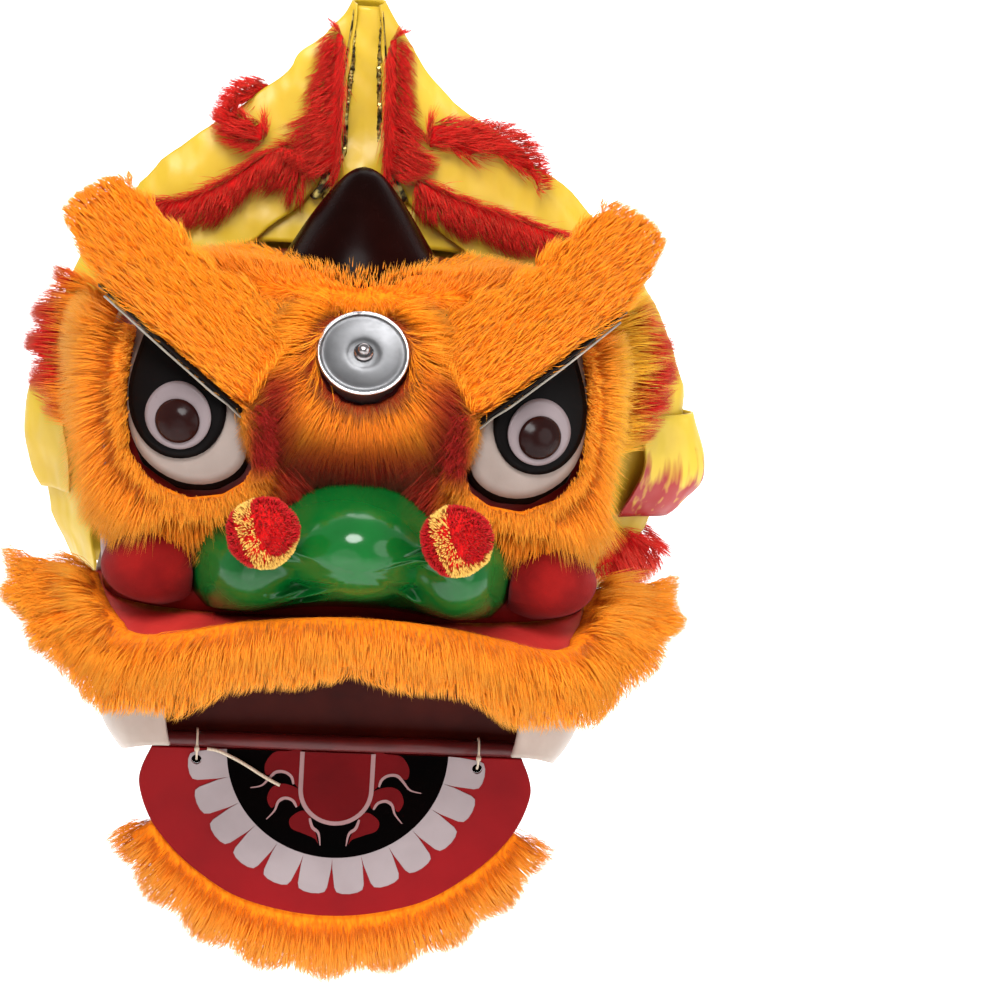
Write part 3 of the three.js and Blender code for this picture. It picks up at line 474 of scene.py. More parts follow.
FINISHES = {
    "shell": Paint(
        "dark_red_paint", (0.17, 0.008, 0.007), (0.10, 0.005, 0.005), rough=0.35, shine=0.2
    ),
    "lip": Paint("lip_red_paint", (0.58, 0.035, 0.028), (0.40, 0.022, 0.020), rough=0.35),
    "horn": Lacquer(
        "horn_black_lacquer", (0.008, 0.0011, 0.0007), (0.004, 0.0007, 0.0005),
        rough=0.2, shine=0.03,
    ),
    "nose": Lacquer(
        "nose_green_lacquer", (0.002, 0.115, 0.016), (0.0015, 0.080, 0.011),
        rough=0.1, coat=0.1, shine=0.32,
    ),
    "black": Lacquer(
        "eye_black_lacquer", (0.003, 0.002, 0.002), (0.0015, 0.001, 0.001), rough=0.35, shine=0.06
    ),
    "white": Paint(
        "eye_white_paint", (0.30, 0.245, 0.215), (0.235, 0.185, 0.16), rough=0.3, shine=0.2
    ),
    "ring": Paint("eye_ring_paint", (0.22, 0.175, 0.18), (0.16, 0.125, 0.13), rough=0.3, shine=0.2),
    "pupil": Lacquer(
        "pupil_brown_lacquer", (0.020, 0.004, 0.003), (0.008, 0.002, 0.002), rough=0.15, shine=0.12
    ),
    "cheek": Plush("cheek_red_plush", (0.23, 0.006, 0.005), (0.14, 0.003, 0.003)),
    "wall": Paint("muzzle_white_paint", (0.42, 0.34, 0.29), (0.31, 0.24, 0.20), rough=0.35),
    "mouth": Paint(
        "mouth_dark_paint", (0.060, 0.008, 0.005), (0.030, 0.004, 0.003), rough=0.35, shine=0.06
    ),
    "bar": Paint("bar_dark_paint", (0.10, 0.010, 0.010), (0.05, 0.006, 0.006), rough=0.3),
    "board": Lacquer(
        "board_red_lacquer", (0.215, 0.003, 0.005), (0.160, 0.002, 0.004), rough=0.35, shine=0.08
    ),
    "board_black": Lacquer(
        "board_black_print", (0.002, 0.001, 0.001), (0.001, 0.001, 0.001), rough=0.4, shine=0.0
    ),
    "tongue": Lacquer(
        "tongue_red_print", (0.125, 0.0015, 0.003), (0.085, 0.001, 0.002), rough=0.4, shine=0.05
    ),
    "tooth": Lacquer(
        "tooth_white_print", (0.305, 0.255, 0.26), (0.25, 0.205, 0.21), rough=0.3, shine=0.08
    ),
    "line": Lacquer(
        "grey_pink_print", (0.30, 0.175, 0.175), (0.24, 0.135, 0.135), rough=0.35, shine=0.08
    ),
    "mirror": Metal("mirror_plate", (0.15, 0.15, 0.155), (0.1125, 0.1125, 0.11625), rough=0.38),
    "rim": Metal("mirror_rim_steel", (0.74, 0.75, 0.76), (0.555, 0.5625, 0.57), rough=0.16),
    "nut": Metal("mirror_nut_steel", (0.30, 0.27, 0.27), (0.225, 0.2025, 0.2025), rough=0.12),
    "post": Paint("post_black_paint", (0.02, 0.02, 0.02), (0.01, 0.01, 0.01)),
    "string": Twine("tie_string", (0.62, 0.52, 0.40), (0.38, 0.30, 0.21)),
    "satin": Satin("yellow_satin", (0.60, 0.405, 0.018), (0.51, 0.32, 0.013)),
    "hemmed_satin": Satin(
        "hemmed_satin", (0.70, 0.50, 0.034), (0.58, 0.39, 0.022), hem=(FLAP_LOW + 24 * MM, 20 * MM)
    ),
    "braid": Spangle("sequin_braid", (0.44, 0.34, 0.10), (0.035, 0.028, 0.015)),
    "piping": Paint("cream_piping", (0.36, 0.32, 0.27), (0.22, 0.19, 0.15)),
    "orange_pile": Pile("orange_pile"),
    "red_pile": Pile("red_pile"),
    "wool": Pile("pompom_wool", rough=0.9, shine=0.1),
    "orange_back": Backing("orange_backing", (0.95, 0.235, 0.006), (0.70, 0.14, 0.004)),
    "rust_back": Backing("rust_backing", (0.34, 0.040, 0.006), (0.20, 0.016, 0.005)),
    "red_back": Backing("red_backing", (0.70, 0.010, 0.010), (0.42, 0.005, 0.006)),
}
MADE: dict[str, Material] = {}


def finish(name: str) -> Material:
    """A finish's material, made once.

    Args:
        name: Key of the finish.

    Returns:
        The material.
    """
    if name not in MADE:
        MADE[name] = FINISHES[name].material()
    return MADE[name]


def settle(obj: Piece, look: str, body: Body, nodes: Sequence[str] = ()) -> Piece:
    """Give a piece its finish, its body and the nodes that it stands for.

    Args:
        obj: The piece.
        look: Key of its finish.
        body: Body that it rides on.
        nodes: CAD nodes that it replaces.

    Returns:
        The piece.
    """
    obj.data.materials.clear()
    obj.data.materials.append(finish(look))
    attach(obj, body.value)
    if nodes:
        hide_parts(*nodes)
    log.info("%s: %d vertices", obj.name, len(getattr(obj.data, "vertices", ())))
    return obj


def linked(name: str, data: bpy.types.ID) -> Piece:
    """A new object in the scene.

    Args:
        name: Name of the object.
        data: Its mesh, curve, camera or light.

    Returns:
        The object.
    """
    obj = bpy.data.objects.new(name, data)
    bpy.context.scene.collection.objects.link(obj)
    return obj


def piece(name: str, mesh: Mesh, smooth: bool = True) -> Piece:
    """An object from a bmesh.

    Args:
        name: Name of the piece.
        mesh: Its mesh, freed here.
        smooth: Whether its faces shade smoothly.

    Returns:
        The new object.
    """
    data = bpy.data.meshes.new(name)
    mesh.to_mesh(data)
    mesh.free()
    data.polygons.foreach_set("use_smooth", [smooth] * len(data.polygons))
    return linked(name, data)


def copied(node: str, crease: float | None = None) -> Mesh:
    """A merged copy of a CAD node with its quads restored.

    Args:
        node: Name of the node.
        crease: Angle in degrees over which an edge stays sharp when the piece is rounded.

    Returns:
        The bmesh.
    """
    mesh = bmesh.new()
    mesh.from_mesh(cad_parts[node].data)
    bmesh.ops.remove_doubles(mesh, verts=mesh.verts, dist=MERGE)
    bend, skew = math.radians(50), math.radians(80)
    bmesh.ops.join_triangles(
        mesh, faces=mesh.faces, angle_face_threshold=bend, angle_shape_threshold=skew
    )
    if crease is not None:
        layer = mesh.edges.layers.float.new("crease_edge")
        for edge in mesh.edges:
            edge[layer] = float(edge.calc_face_angle(math.pi) > math.radians(crease))
    return mesh


def rounded(obj: Piece, levels: int) -> Piece:
    """Round a piece with a subdivision surface.

    Args:
        obj: The piece.
        levels: Levels of subdivision.

    Returns:
        The piece.
    """
    modifier = obj.modifiers.new("round", "SUBSURF")
    modifier.levels = levels
    modifier.render_levels = levels
    return obj


def dressed(
    node: str, suffix: str, look: str, levels: int,
    body: Body = Body.HEAD, crease: float | None = None,
) -> Piece:
    """A rounded stand-in for a CAD node, in its finish and on its body."""
    obj = rounded(piece(f"{node}_{suffix}", copied(node, crease)), levels)
    return settle(obj, look, body, [node])


def applied(obj: Piece) -> Piece:
    """Bake a piece's modifiers into its mesh.

    Args:
        obj: The piece.

    Returns:
        The piece, with no modifiers.
    """
    bpy.context.view_layer.update()
    done = bpy.data.meshes.new_from_object(obj.evaluated_get(bpy.context.evaluated_depsgraph_get()))
    obj.modifiers.clear()
    obj.data = done
    return obj


def rows_of(node: str) -> Rows:
    """Vertices of a CAD node as rows."""
    return np.array([v.co[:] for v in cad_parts[node].data.vertices])


def points_of(obj: Piece) -> Rows:
    """Vertices of a piece as rows.

    Args:
        obj: The piece.

    Returns:
        Its vertices.
    """
    flat = np.zeros(len(obj.data.vertices) * 3, np.float32)
    obj.data.vertices.foreach_get("co", flat)
    return flat.reshape(-1, 3).astype(float)


def put_points(obj: Piece, rows: Rows) -> None:
    """Move a piece's vertices to new places."""
    obj.data.vertices.foreach_set("co", rows.astype(np.float32).ravel())
    obj.data.update()


def unit(rows: Rows) -> Rows:
    """Rows scaled to unit length."""
    return rows / np.maximum(np.linalg.norm(rows, axis=1, keepdims=True), TINY)


def rise(values: Rows, start: float, width: float) -> Rows:
    """Share from 0 at a start to 1 a width further, backwards for a negative width."""
    return np.clip((values - start) / width, 0, 1)


def leaning(x: Rows, y: float, z: float) -> Rows:
    """Rows of directions from a column of x with the same y and z everywhere."""
    return np.hstack([x, np.full_like(x, y), np.full_like(x, z)])


def constant(direction: Sequence[float]) -> Field:
    """A comb direction that is the same everywhere."""
    return lambda rows: np.tile(np.array(direction, float), (len(rows), 1))


def radial(centre: Sequence[float], weight: Sequence[float], drift: Sequence[float]) -> Field:
    """A comb direction away from a centre, by weighted axes, with a drift added everywhere."""
    return lambda rows: unit((rows - np.array(centre)) * np.array(weight)) + np.array(drift)


def form_of(node: str) -> bvhtree.BVHTree:
    """Search tree over a CAD node's faces.

    Args:
        node: Name of the node.

    Returns:
        The tree.
    """
    mesh = bmesh.new()
    mesh.from_mesh(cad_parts[node].data)
    tree = bvhtree.BVHTree.FromBMesh(mesh)
    mesh.free()
    return tree


@dataclass(frozen=True)
class Dye:
    """Colours of a strand from root to tip, with lighter and darker strands."""

    root: Colour
    middle: Colour
    tip: Colour
    spread: float = 0.25


ORANGE = Dye((0.98, 0.235, 0.006), (1.0, 0.285, 0.008), (1.0, 0.42, 0.030), 0.14)
LIGHT = Dye((0.92, 0.225, 0.008), (0.93, 0.285, 0.013), (0.96, 0.42, 0.045), 0.14)
SCARLET = Dye((0.48, 0.005, 0.005), (0.68, 0.011, 0.010), (0.80, 0.040, 0.026), 0.25)


@dataclass
class Fur:
    """Fur of one node: a smoothed backing and combed strands over it."""

    LAID: ClassVar[float] = 0.85
    LENGTHS: ClassVar[Span] = (0.55, 1.2)
    WIDTHS: ClassVar[Span] = (0.6, 1.3)
    TONES: ClassVar[Span] = (-1, 0.6)
    PULLS: ClassVar[Span] = (0.5, 1.2)
    DRAWN: ClassVar[float] = 0.9
    FEWEST_LEADERS: ClassVar[int] = 8
    SHORTEST: ClassVar[float] = 0.25
    BACKWARD: ClassVar[float] = 0.3
    RIM_SIDE: ClassVar[float] = -0.35
    RIM_LEAN: ClassVar[Span] = (0.2, 0.5)
    BEND: ClassVar[Span] = (0.42, 0.07)
    SUNK: ClassVar[float] = 0.8 * MM
    FLATNESS: ClassVar[float] = 0.7
    SECTION: ClassVar[Triple] = (90, 210, 330)
    SIDES: ClassVar[Sequence[tuple[int, int, int]]] = (
        (0, 2, 1), (0, 3, 2), (0, 1, 3), (4, 1, 2), (4, 2, 3), (4, 3, 1),
    )
    node: str
    flow: Field
    length: float
    count: int
    dye: Dye = ORANGE
    look: str = "orange_pile"
    back: str = "orange_back"
    slot: str = "orange_fur"
    body: Body = Body.HEAD
    lift: float = 0.14
    droop: float = 0.12
    stray: float = 0.09
    width: float = 0.5 * MM
    overhang: float = 9 * MM
    clump: float = 0.16
    lock: int = 24
    rim: float | None = None
    seen: float = -0.15
    measure: Field | None = None
    facing: Field | None = None
    behind: str | None = None
    tint: Tint | None = None
    shade: Field | None = None
    rng: Rng = field(init=False)

    def build(self, seed: int) -> None:
        """Make the backing and the strands.

        Args:
            seed: Seed of this fur's random draws.
        """
        dressed(self.node, "backing", self.back, 1, self.body)
        self.rng = np.random.default_rng(seed)
        self.strands()

    def roots(self) -> tuple[Rows, Rows]:
        """Places over the node's faces, spread by area, and their normals.

        Returns:
            Points and unit normals.
        """
        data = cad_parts[self.node].data
        data.calc_loop_triangles()
        corners = np.array([t.vertices[:] for t in data.loop_triangles])
        places = rows_of(self.node)
        a, b, c = (places[corners[:, k]] for k in range(3))
        normal = np.cross(b - a, c - a)
        area = np.linalg.norm(normal, axis=1)
        normal = unit(normal)
        if self.facing is not None:
            seen = np.sum(normal * unit(self.facing((a + b + c) / 3)), axis=1) > self.seen
            area = np.where(seen, area, 0.0)
        pick = self.rng.choice(len(area), self.count, p=area / area.sum())
        u, v = self.rng.random(self.count), self.rng.random(self.count)
        u, v = (np.where(u + v > 1, 1 - share, share)[:, None] for share in (u, v))
        root = a[pick] + u * (b[pick] - a[pick]) + v * (c[pick] - a[pick])
        return self.uncovered(root, normal[pick])

    def uncovered(self, root: Rows, normal: Rows) -> tuple[Rows, Rows]:
        """Leave out the forward roots that another node covers.

        Args:
            root: Roots of the strands.
            normal: Normals at the roots.

        Returns:
            The roots and normals that are kept.
        """
        if self.behind is None:
            return root, normal
        cover = form_of(self.behind)
        ahead = Vector((0, -1, 0))
        hidden = np.array([cover.ray_cast(Vector(p), ahead)[0] is not None for p in root])
        keep = ~hidden | (normal[:, 1] > self.BACKWARD)
        return root[keep], normal[keep]

    def strands(self) -> None:
        """Comb, clump and trim the strands, and join them in one mesh."""
        root, normal = self.roots()
        comb = unit(self.flow(root))
        against = np.sum(comb * normal, axis=1, keepdims=True)
        heading = unit(comb - self.LAID * against * normal) + self.lift * normal
        reach = (self.length * self.rng.uniform(*self.LENGTHS, len(root)))[:, None]
        if self.measure is not None:
            reach = reach * self.measure(root)[:, None]
        if self.rim is not None:
            edge = against < self.RIM_SIDE
            rooted, combed = self.RIM_LEAN
            forward = unit(rooted * normal + combed * comb + np.array([0, -1, 0]))
            heading = np.where(edge, forward, heading)
            reach = np.where(edge, self.rim * reach, reach)
        heading = unit(heading + self.stray * self.rng.normal(size=root.shape))
        tip = root + reach * heading + np.array([0, 0, -1]) * self.droop * reach
        tip = self.clumped(root, tip)
        tip = self.trimmed(root, tip)
        along, out = self.BEND
        middle = root + along * (tip - root) + out * reach * normal
        self.mesh(root - self.SUNK * normal, middle, tip, normal)

    def clumped(self, root: Rows, tip: Rows) -> Rows:
        """Draw the tips towards those of a few leading strands, which parts the pile in locks.

        Args:
            root: Roots of the strands.
            tip: Their tips.

        Returns:
            The new tips.
        """
        count = max(self.FEWEST_LEADERS, len(root) // self.lock)
        leaders = self.rng.choice(len(root), count, replace=False)
        tree = kdtree.KDTree(len(leaders))
        for k, leader in enumerate(leaders):
            tree.insert(root[leader], k)
        tree.balance()
        nearest = leaders[[tree.find(p)[1] for p in root]]
        pull = self.clump * self.rng.uniform(*self.PULLS, len(root))[:, None]
        return tip + pull * (tip[nearest] - tip) * self.DRAWN

    def trimmed(self, root: Rows, tip: Rows) -> Rows:
        """Shorten the strands that stand out too far from the node's form.

        Args:
            root: Roots of the strands.
            tip: Their tips.

        Returns:
            The new tips.
        """
        form = form_of(self.node)
        away = np.array([form.find_nearest(p)[3] for p in tip])
        share = np.minimum(1.0, self.overhang / np.maximum(away, TINY))
        return root + (tip - root) * np.maximum(share, self.SHORTEST)[:, None]

    def mesh(self, root: Rows, middle: Rows, tip: Rows, normal: Rows) -> None:
        """Join three-sided strands, pointed at both ends, in one mesh with coloured vertices.

        Args:
            root: Roots.
            middle: Bend of each strand, where it is broadest.
            tip: Tips.
            normal: Normals at the roots.
        """
        count = len(root)
        along = unit(tip - root)
        across = unit(np.cross(along, normal) + NUDGE)
        over = np.cross(across, along)
        broad = (0.5 * self.width * self.rng.uniform(*self.WIDTHS, count))[:, None]
        ring = [
            middle + broad * (math.cos(angle) * across + self.FLATNESS * math.sin(angle) * over)
            for angle in np.radians(self.SECTION)
        ]
        rows = np.stack([root, *ring, tip], axis=1)
        first = rows.shape[1] * np.arange(count)[:, None, None]
        faces = (np.array(self.SIDES)[None] + first).reshape(-1, 3)
        data = bpy.data.meshes.new(f"{self.node}_pile")
        data.vertices.add(rows.size // 3)
        data.vertices.foreach_set("co", rows.astype(np.float32).ravel())
        data.loops.add(faces.size)
        data.loops.foreach_set("vertex_index", faces.astype(np.int32).ravel())
        data.polygons.add(len(faces))
        data.polygons.foreach_set("loop_start", np.arange(0, faces.size, 3, dtype=np.int32))
        data.polygons.foreach_set("use_smooth", np.ones(len(faces), bool))
        data.update(calc_edges=True)
        data.attributes.new("tint", "FLOAT_COLOR", "POINT")
        tints = self.colours((root, middle, tip)).astype(np.float32).ravel()
        data.attributes["tint"].data.foreach_set("color", tints)
        obj = linked(f"{self.node}_pile", data)
        settle(obj, self.look, self.body)

    def colours(self, places: Sequence[Rows]) -> Rows:
        """Colours of every vertex, from root to tip.

        Args:
            places: Roots, bends and tips of the strands.

        Returns:
            One row of four values for each vertex.
        """
        count = len(places[0])
        tone = (1 + self.dye.spread * self.rng.uniform(*self.TONES, count))[:, None]
        dyes = (self.dye.root, self.dye.middle, self.dye.tip)
        stops = [np.array(dye)[None] * tone for dye in dyes]
        if self.tint is not None:
            stops = [self.tint(places[0], stop) for stop in stops]
        if self.shade is not None:
            stops = [stop * self.shade(place) for stop, place in zip(stops, places)]
        rows = np.stack([stops[0]] + [stops[1]] * len(self.SECTION) + [stops[2]], axis=1)
        return np.concatenate([rows, np.ones((*rows.shape[:2], 1))], axis=2)


def from_axis(rows: Rows) -> Rows:
    """Direction away from the head's upright axis."""
    return rows * np.array([1.0, 1.0, 0.3]) - np.array([0.0, 0.03, -0.03])


def crown_flow(rows: Rows) -> Rows:
    """Comb of the crown: outwards and down at the brows, up and back under the horn.

    Args:
        rows: Roots of the strands.

    Returns:
        Comb directions.
    """
    back = rise(rows[:, 2:3], start=-0.014, width=0.012)
    out = 6 * rows[:, :1]
    return leaning(out, -0.6, -0.45) * (1 - back) + leaning(out, 0.1, 0.9) * back


def crown_measure(rows: Rows) -> Rows:
    """Share of the crown's strand length: short at the foot of the horn."""
    return 0.36 + 0.64 * rise(np.abs(rows[:, 0]), start=0.045, width=0.03)


def fringe_measure(rows: Rows) -> Rows:
    """Share of the fringe's strand length, uneven along the lip."""
    return 0.82 + 0.3 * np.sin(95 * rows[:, 0]) * np.sin(38 * rows[:, 0] + 1.3)


def eye_measure(rows: Rows) -> Rows:
    """Share of the eye fur's strand length: long over the cheeks, short over the right ear.

    Args:
        rows: Roots of the strands.

    Returns:
        Shares of the length.
    """
    hanging = rise(rows[:, 2], start=-0.105, width=-0.03)
    ear = rise(rows[:, 0], start=0.125, width=0.012)
    return 1 + 0.45 * hanging - 0.55 * (1 - hanging) * ear


def outer_tint(root: Rows, stop: Rows) -> Rows:
    """Dye of the right eye's fur: yellow at its outer edge, over the ear."""
    share = rise(root[:, :1], start=0.132, width=0.012)
    return stop * (1 - share) + share * stop[:, :1] * np.array([1.0, 0.50, 0.028])


def mirror_tint(root: Rows, stop: Rows) -> Rows:
    """Orange above the mirror; rust below it, partly darker roots and partly painted shade under
    it.
    """
    share = rise(root[:, 2:3], start=-0.052, width=-0.03)
    # Darker below the mirror: partly the fur's darker roots, partly painted shade under the mirror.
    return stop * (1 - share * np.array([0.35, 0.5, 0.45]))


def bridge_shade(rows: Rows) -> Rows:
    """Dark red where the head shows through thin fur, beside the bridge and over the nose; over the
    nose it is also painted shade.

    Args:
        rows: Points of the strands.

    Returns:
        Factors of the colours.
    """
    x, z = np.abs(rows[:, :1]), rows[:, 2:3]
    sides = np.clip(1.4 - ((x - 0.049) / 0.014) ** 2, 0, 1)
    sides = sides * rise(z, start=-0.040, width=-0.012) * rise(z, start=-0.112, width=0.014)
    # Over the nose: the head showing through, and painted shade in the gap between the fur and the
    # nose.
    foot = rise(z, start=-0.080, width=-0.012) * rise(x, start=0.052, width=-0.012)
    return 1 - np.maximum(sides, foot) * np.array([0.60, 0.96, 0.6])


def lip_flow(rows: Rows) -> Rows:
    """Comb of the lip fringe: down at the mouth, outwards and up at its ends.

    Args:
        rows: Roots of the strands.

    Returns:
        Comb directions.
    """
    rear = rise(rows[:, 1:2], start=-0.150, width=0.12)
    rear = rear * rear * (3 - 2 * rear)
    x = rows[:, 0:1]
    return leaning(1.6 * x, -0.34, -0.92) * (1 - rear) + leaning(np.sign(x), 0.02, 0.04) * rear


@dataclass
class FurDress:
    """Every furred piece of the head."""

    eye: Vector = field(default_factory=lambda: Vector((99 * MM, -100 * MM, -76 * MM)))
    mirror: Vector = field(default_factory=lambda: Vector((0, -86 * MM, -34 * MM)))
    ear_yellow: Colour = (1.0, 0.52, 0.03)
    ear_band: float = 26 * MM
    first_seed: int = 11
    trims: Sequence[tuple[str, Triple, float, int]] = (
        ("spine", (0.85, -0.2, -0.3), 20 * MM, 2500),
        ("tier", (0.3, -0.3, -0.75), 19 * MM, 2500),
        ("flag", (0.8, -0.2, 0.3), 18 * MM, 1800),
    )

    def coats(self) -> list[Fur]:
        """The furs, in the order that they are grown.

        Returns:
            The furs.
        """
        scarlet = partial(
            Fur, dye=SCARLET, look="red_pile", back="red_back", slot="red_fur", lift=0.35,
            stray=0.16, overhang=13 * MM,
        )
        furs = [
            Fur(
                "lip_fringe", lip_flow, 50 * MM, 25000, overhang=11 * MM, stray=0.12, dye=LIGHT,
                clump=0.4, lock=70, measure=fringe_measure,
            ),
            Fur(
                "jaw_fur", radial(BAR, (1, 0.05, 1), (0, 0, -0.1)), 38 * MM, 16000, body=Body.JAW,
                behind="jaw_board", overhang=15 * MM, dye=LIGHT, stray=0.11,
            ),
            Fur(
                "mirror_fur", radial(self.mirror, (1, 0, 1), (0, -0.05, -0.15)), 42 * MM, 12500,
                facing=from_axis, overhang=20 * MM, lift=0.25, stray=0.14, back="rust_back",
                tint=mirror_tint, behind="mirror_disc", shade=bridge_shade,
            ),
            Fur(
                "crown_fur", crown_flow, 26 * MM, 10000, facing=from_axis, overhang=10 * MM,
                lift=0.2, stray=0.14, measure=crown_measure,
            ),
        ]
        for hand in Hand:
            side = hand.value
            eye = (side * self.eye.x, self.eye.y, self.eye.z)
            furs += [
                Fur(
                    hand.node("brow"), constant((0.66 * side, 0.2, 0.66)), 15 * MM, 11500,
                    overhang=8 * MM, lift=0.15, stray=0.15, clump=0.06, width=0.65 * MM,
                ),
                Fur(
                    hand.node("eye_fur"), radial(eye, (1, 0, 1), (0, -0.05, -0.4)), 36 * MM, 12000,
                    facing=constant((0, -1, 0)), overhang=26 * MM, lift=0.2, stray=0.14, rim=0.5,
                    seen=-0.6, dye=LIGHT, measure=eye_measure, shade=bridge_shade,
                    tint=outer_tint if hand is Hand.RIGHT else None,
                ),
                Fur(
                    hand.node("ear"), constant((side, 0.25, 0.1)), 34 * MM, 4200,
                    overhang=18 * MM, stray=0.14, clump=0.55, lock=160, tint=self.ear_tint(hand),
                ),
            ]
            for trim, comb, length, count in self.trims:
                flow = constant((comb[0] * side, *comb[1:]))
                furs.append(scarlet(hand.node(f"cape_trim_{trim}"), flow, length, count))
        flow = constant((0.5, -0.2, -0.7))
        return [*furs, scarlet("cape_trim_side_right", flow, 20 * MM, 2500)]

    def ear_tint(self, hand: Hand) -> Tint:
        """Dye of an ear: red at its rim, yellow or orange inside it.

        Args:
            hand: Side of the head.

        Returns:
            The tint of each strand.
        """
        inside = np.array(self.ear_yellow if hand is Hand.RIGHT else ORANGE.middle)
        low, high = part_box(hand.node("ear"))
        rim = max(abs(low.x), abs(high.x))

        def tint(root: Rows, stop: Rows) -> Rows:
            """Colour by the distance from the ear's rim.

            Args:
                root: Roots of the strands.
                stop: Colours before the dye.

            Returns:
                The dyed colours.
            """
            inset = np.abs(root[:, :1]) - rim + self.ear_band
            share = rise(inset, start=0.0, width=0.4 * self.ear_band)
            tone = stop[:, :1]
            return inside * (1 - share) * tone + np.array(SCARLET.middle) * share * tone

        return tint

    def build(self) -> None:
        """Grow the furs."""
        for seed, fur in enumerate(self.coats(), start=self.first_seed):
            fur.build(seed)


@dataclass
class Pompoms:
    """Wool balls in red and yellow bands over the nose."""

    red: Colour = (0.50, 0.008, 0.014)
    yellow: Colour = (0.90, 0.55, 0.12)
    strands: int = 4000
    seed: int = 71
    band: float = 15 * MM
    slant: Triple = (0.64, -0.34, 0.69)

    def build(self) -> None:
        """Grow both balls."""
        for hand in Hand:
            low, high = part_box(hand.node("pompom"))
            centre = (low + high) / 2

            def bands(root: Rows, stop: Rows, centre: Vector = centre) -> Rows:
                """Colour by slanting band over the ball, darker at the root.

                Args:
                    root: Roots of the strands.
                    stop: Colours before the dye.
                    centre: Middle of the ball.

                Returns:
                    The dyed colours.
                """
                away = root - np.array(centre)
                level = away @ np.array(self.slant) / self.band
                edge = 0.35 * np.sin(away[:, 0] / self.band * 2.6 + 1.0)
                turned = np.mod(np.floor(level + edge + 0.5), 2) > 0
                wool = np.where(turned[:, None], np.array(self.red), np.array(self.yellow))
                return wool * stop[:, :1]

            Fur(
                hand.node("pompom"), radial(centre, (1, 1, 1), (0, 0, 0)), 5 * MM, self.strands,
                dye=Dye((0.55,) * 3, (0.95,) * 3, (1.1,) * 3, 0.2), look="wool", back="red_back",
                slot="pompom_wool", lift=2.5, droop=0.05, width=0.9 * MM, overhang=3 * MM,
                clump=0.2, tint=bands,
            ).build(self.seed + hand.value)


@dataclass
class Mask:
    """Hard pieces of the face: shell, nose, eyes, cheeks, lip and mouth."""

    pieces: Sequence[tuple[str, str, str, int]] = (
        ("head_shell", "shell", "lacquer_red", 2),
        ("horn", "horn", "lacquer_black", 2),
        ("nose", "nose", "lacquer_green", 2),
        ("upper_lip", "lip", "lacquer_red", 2),
        ("palate", "mouth", "mouth_dark", 1),
    )
    pairs: Sequence[tuple[str, str, str, int]] = (
        ("eye_liner", "black", "lacquer_black", 2),
        ("eye_white", "white", "eye_white", 2),
        ("eye_black", "black", "lacquer_black", 2),
        ("eye_ring", "ring", "eye_ring", 2),
        ("eye_pupil", "pupil", "eye_pupil", 2),
        ("brow_edge", "black", "lacquer_black", 2),
        ("muzzle_wall", "wall", "muzzle_white", 2),
        ("pompom_post", "post", "post_black", 1),
    )
    crease: float = 55.0

    def build(self) -> None:
        """Round and dress each piece."""
        for node, look, slot, levels in self.pieces:
            dressed(node, "skin", look, levels, crease=self.crease)
        for hand in Hand:
            for stem, look, slot, levels in self.pairs:
                dressed(hand.node(stem), "skin", look, levels, crease=self.crease)
            node = hand.node("cheek")
            cheek = dressed(node, "skin", "cheek", 2, crease=self.crease)
        self.bar()

    def bar(self) -> None:
        """The round bar that the jaw hangs from."""
        low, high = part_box("jaw_bar")
        middle, size = (low + high) / 2, high - low
        mesh = bmesh.new()
        bmesh.ops.create_cone(
            mesh, cap_ends=True, segments=40, radius1=size.z / 2, radius2=size.z / 2, depth=size.x,
            matrix=Matrix.Translation(middle) @ Matrix.Rotation(math.radians(90), 4, "Y"),
        )
        settle(piece("jaw_bar_paint", mesh), "bar", Body.HEAD, ["jaw_bar"])


def tube(name: str, route: Sequence[Vector], radius: float, sides: int = 8) -> Piece:
    """A round line along a route, closed at both ends.

    Args:
        name: Name of the piece.
        route: Points along its middle.
        radius: Its radius.
        sides: Sides of its section.

    Returns:
        The piece.
    """
    mesh = bmesh.new()
    rings = []
    for k, place in enumerate(route):
        along = (route[min(k + 1, len(route) - 1)] - route[max(k - 1, 0)]).normalized()
        across = along.cross(Vector((0, 0, 1))).normalized()
        over = across.cross(along)
        turn = np.linspace(0, 2 * math.pi, sides, endpoint=False)
        spokes = [math.cos(a) * across + math.sin(a) * over for a in turn]
        rings.append([mesh.verts.new(place + radius * spoke) for spoke in spokes])
    for near, far in zip(rings, rings[1:]):
        for k in range(sides):
            mesh.faces.new((near[k - 1], near[k], far[k], far[k - 1]))
    mesh.faces.new(rings[0])
    mesh.faces.new(reversed(rings[-1]))
    bmesh.ops.recalc_face_normals(mesh, faces=mesh.faces)
    return piece(name, mesh)


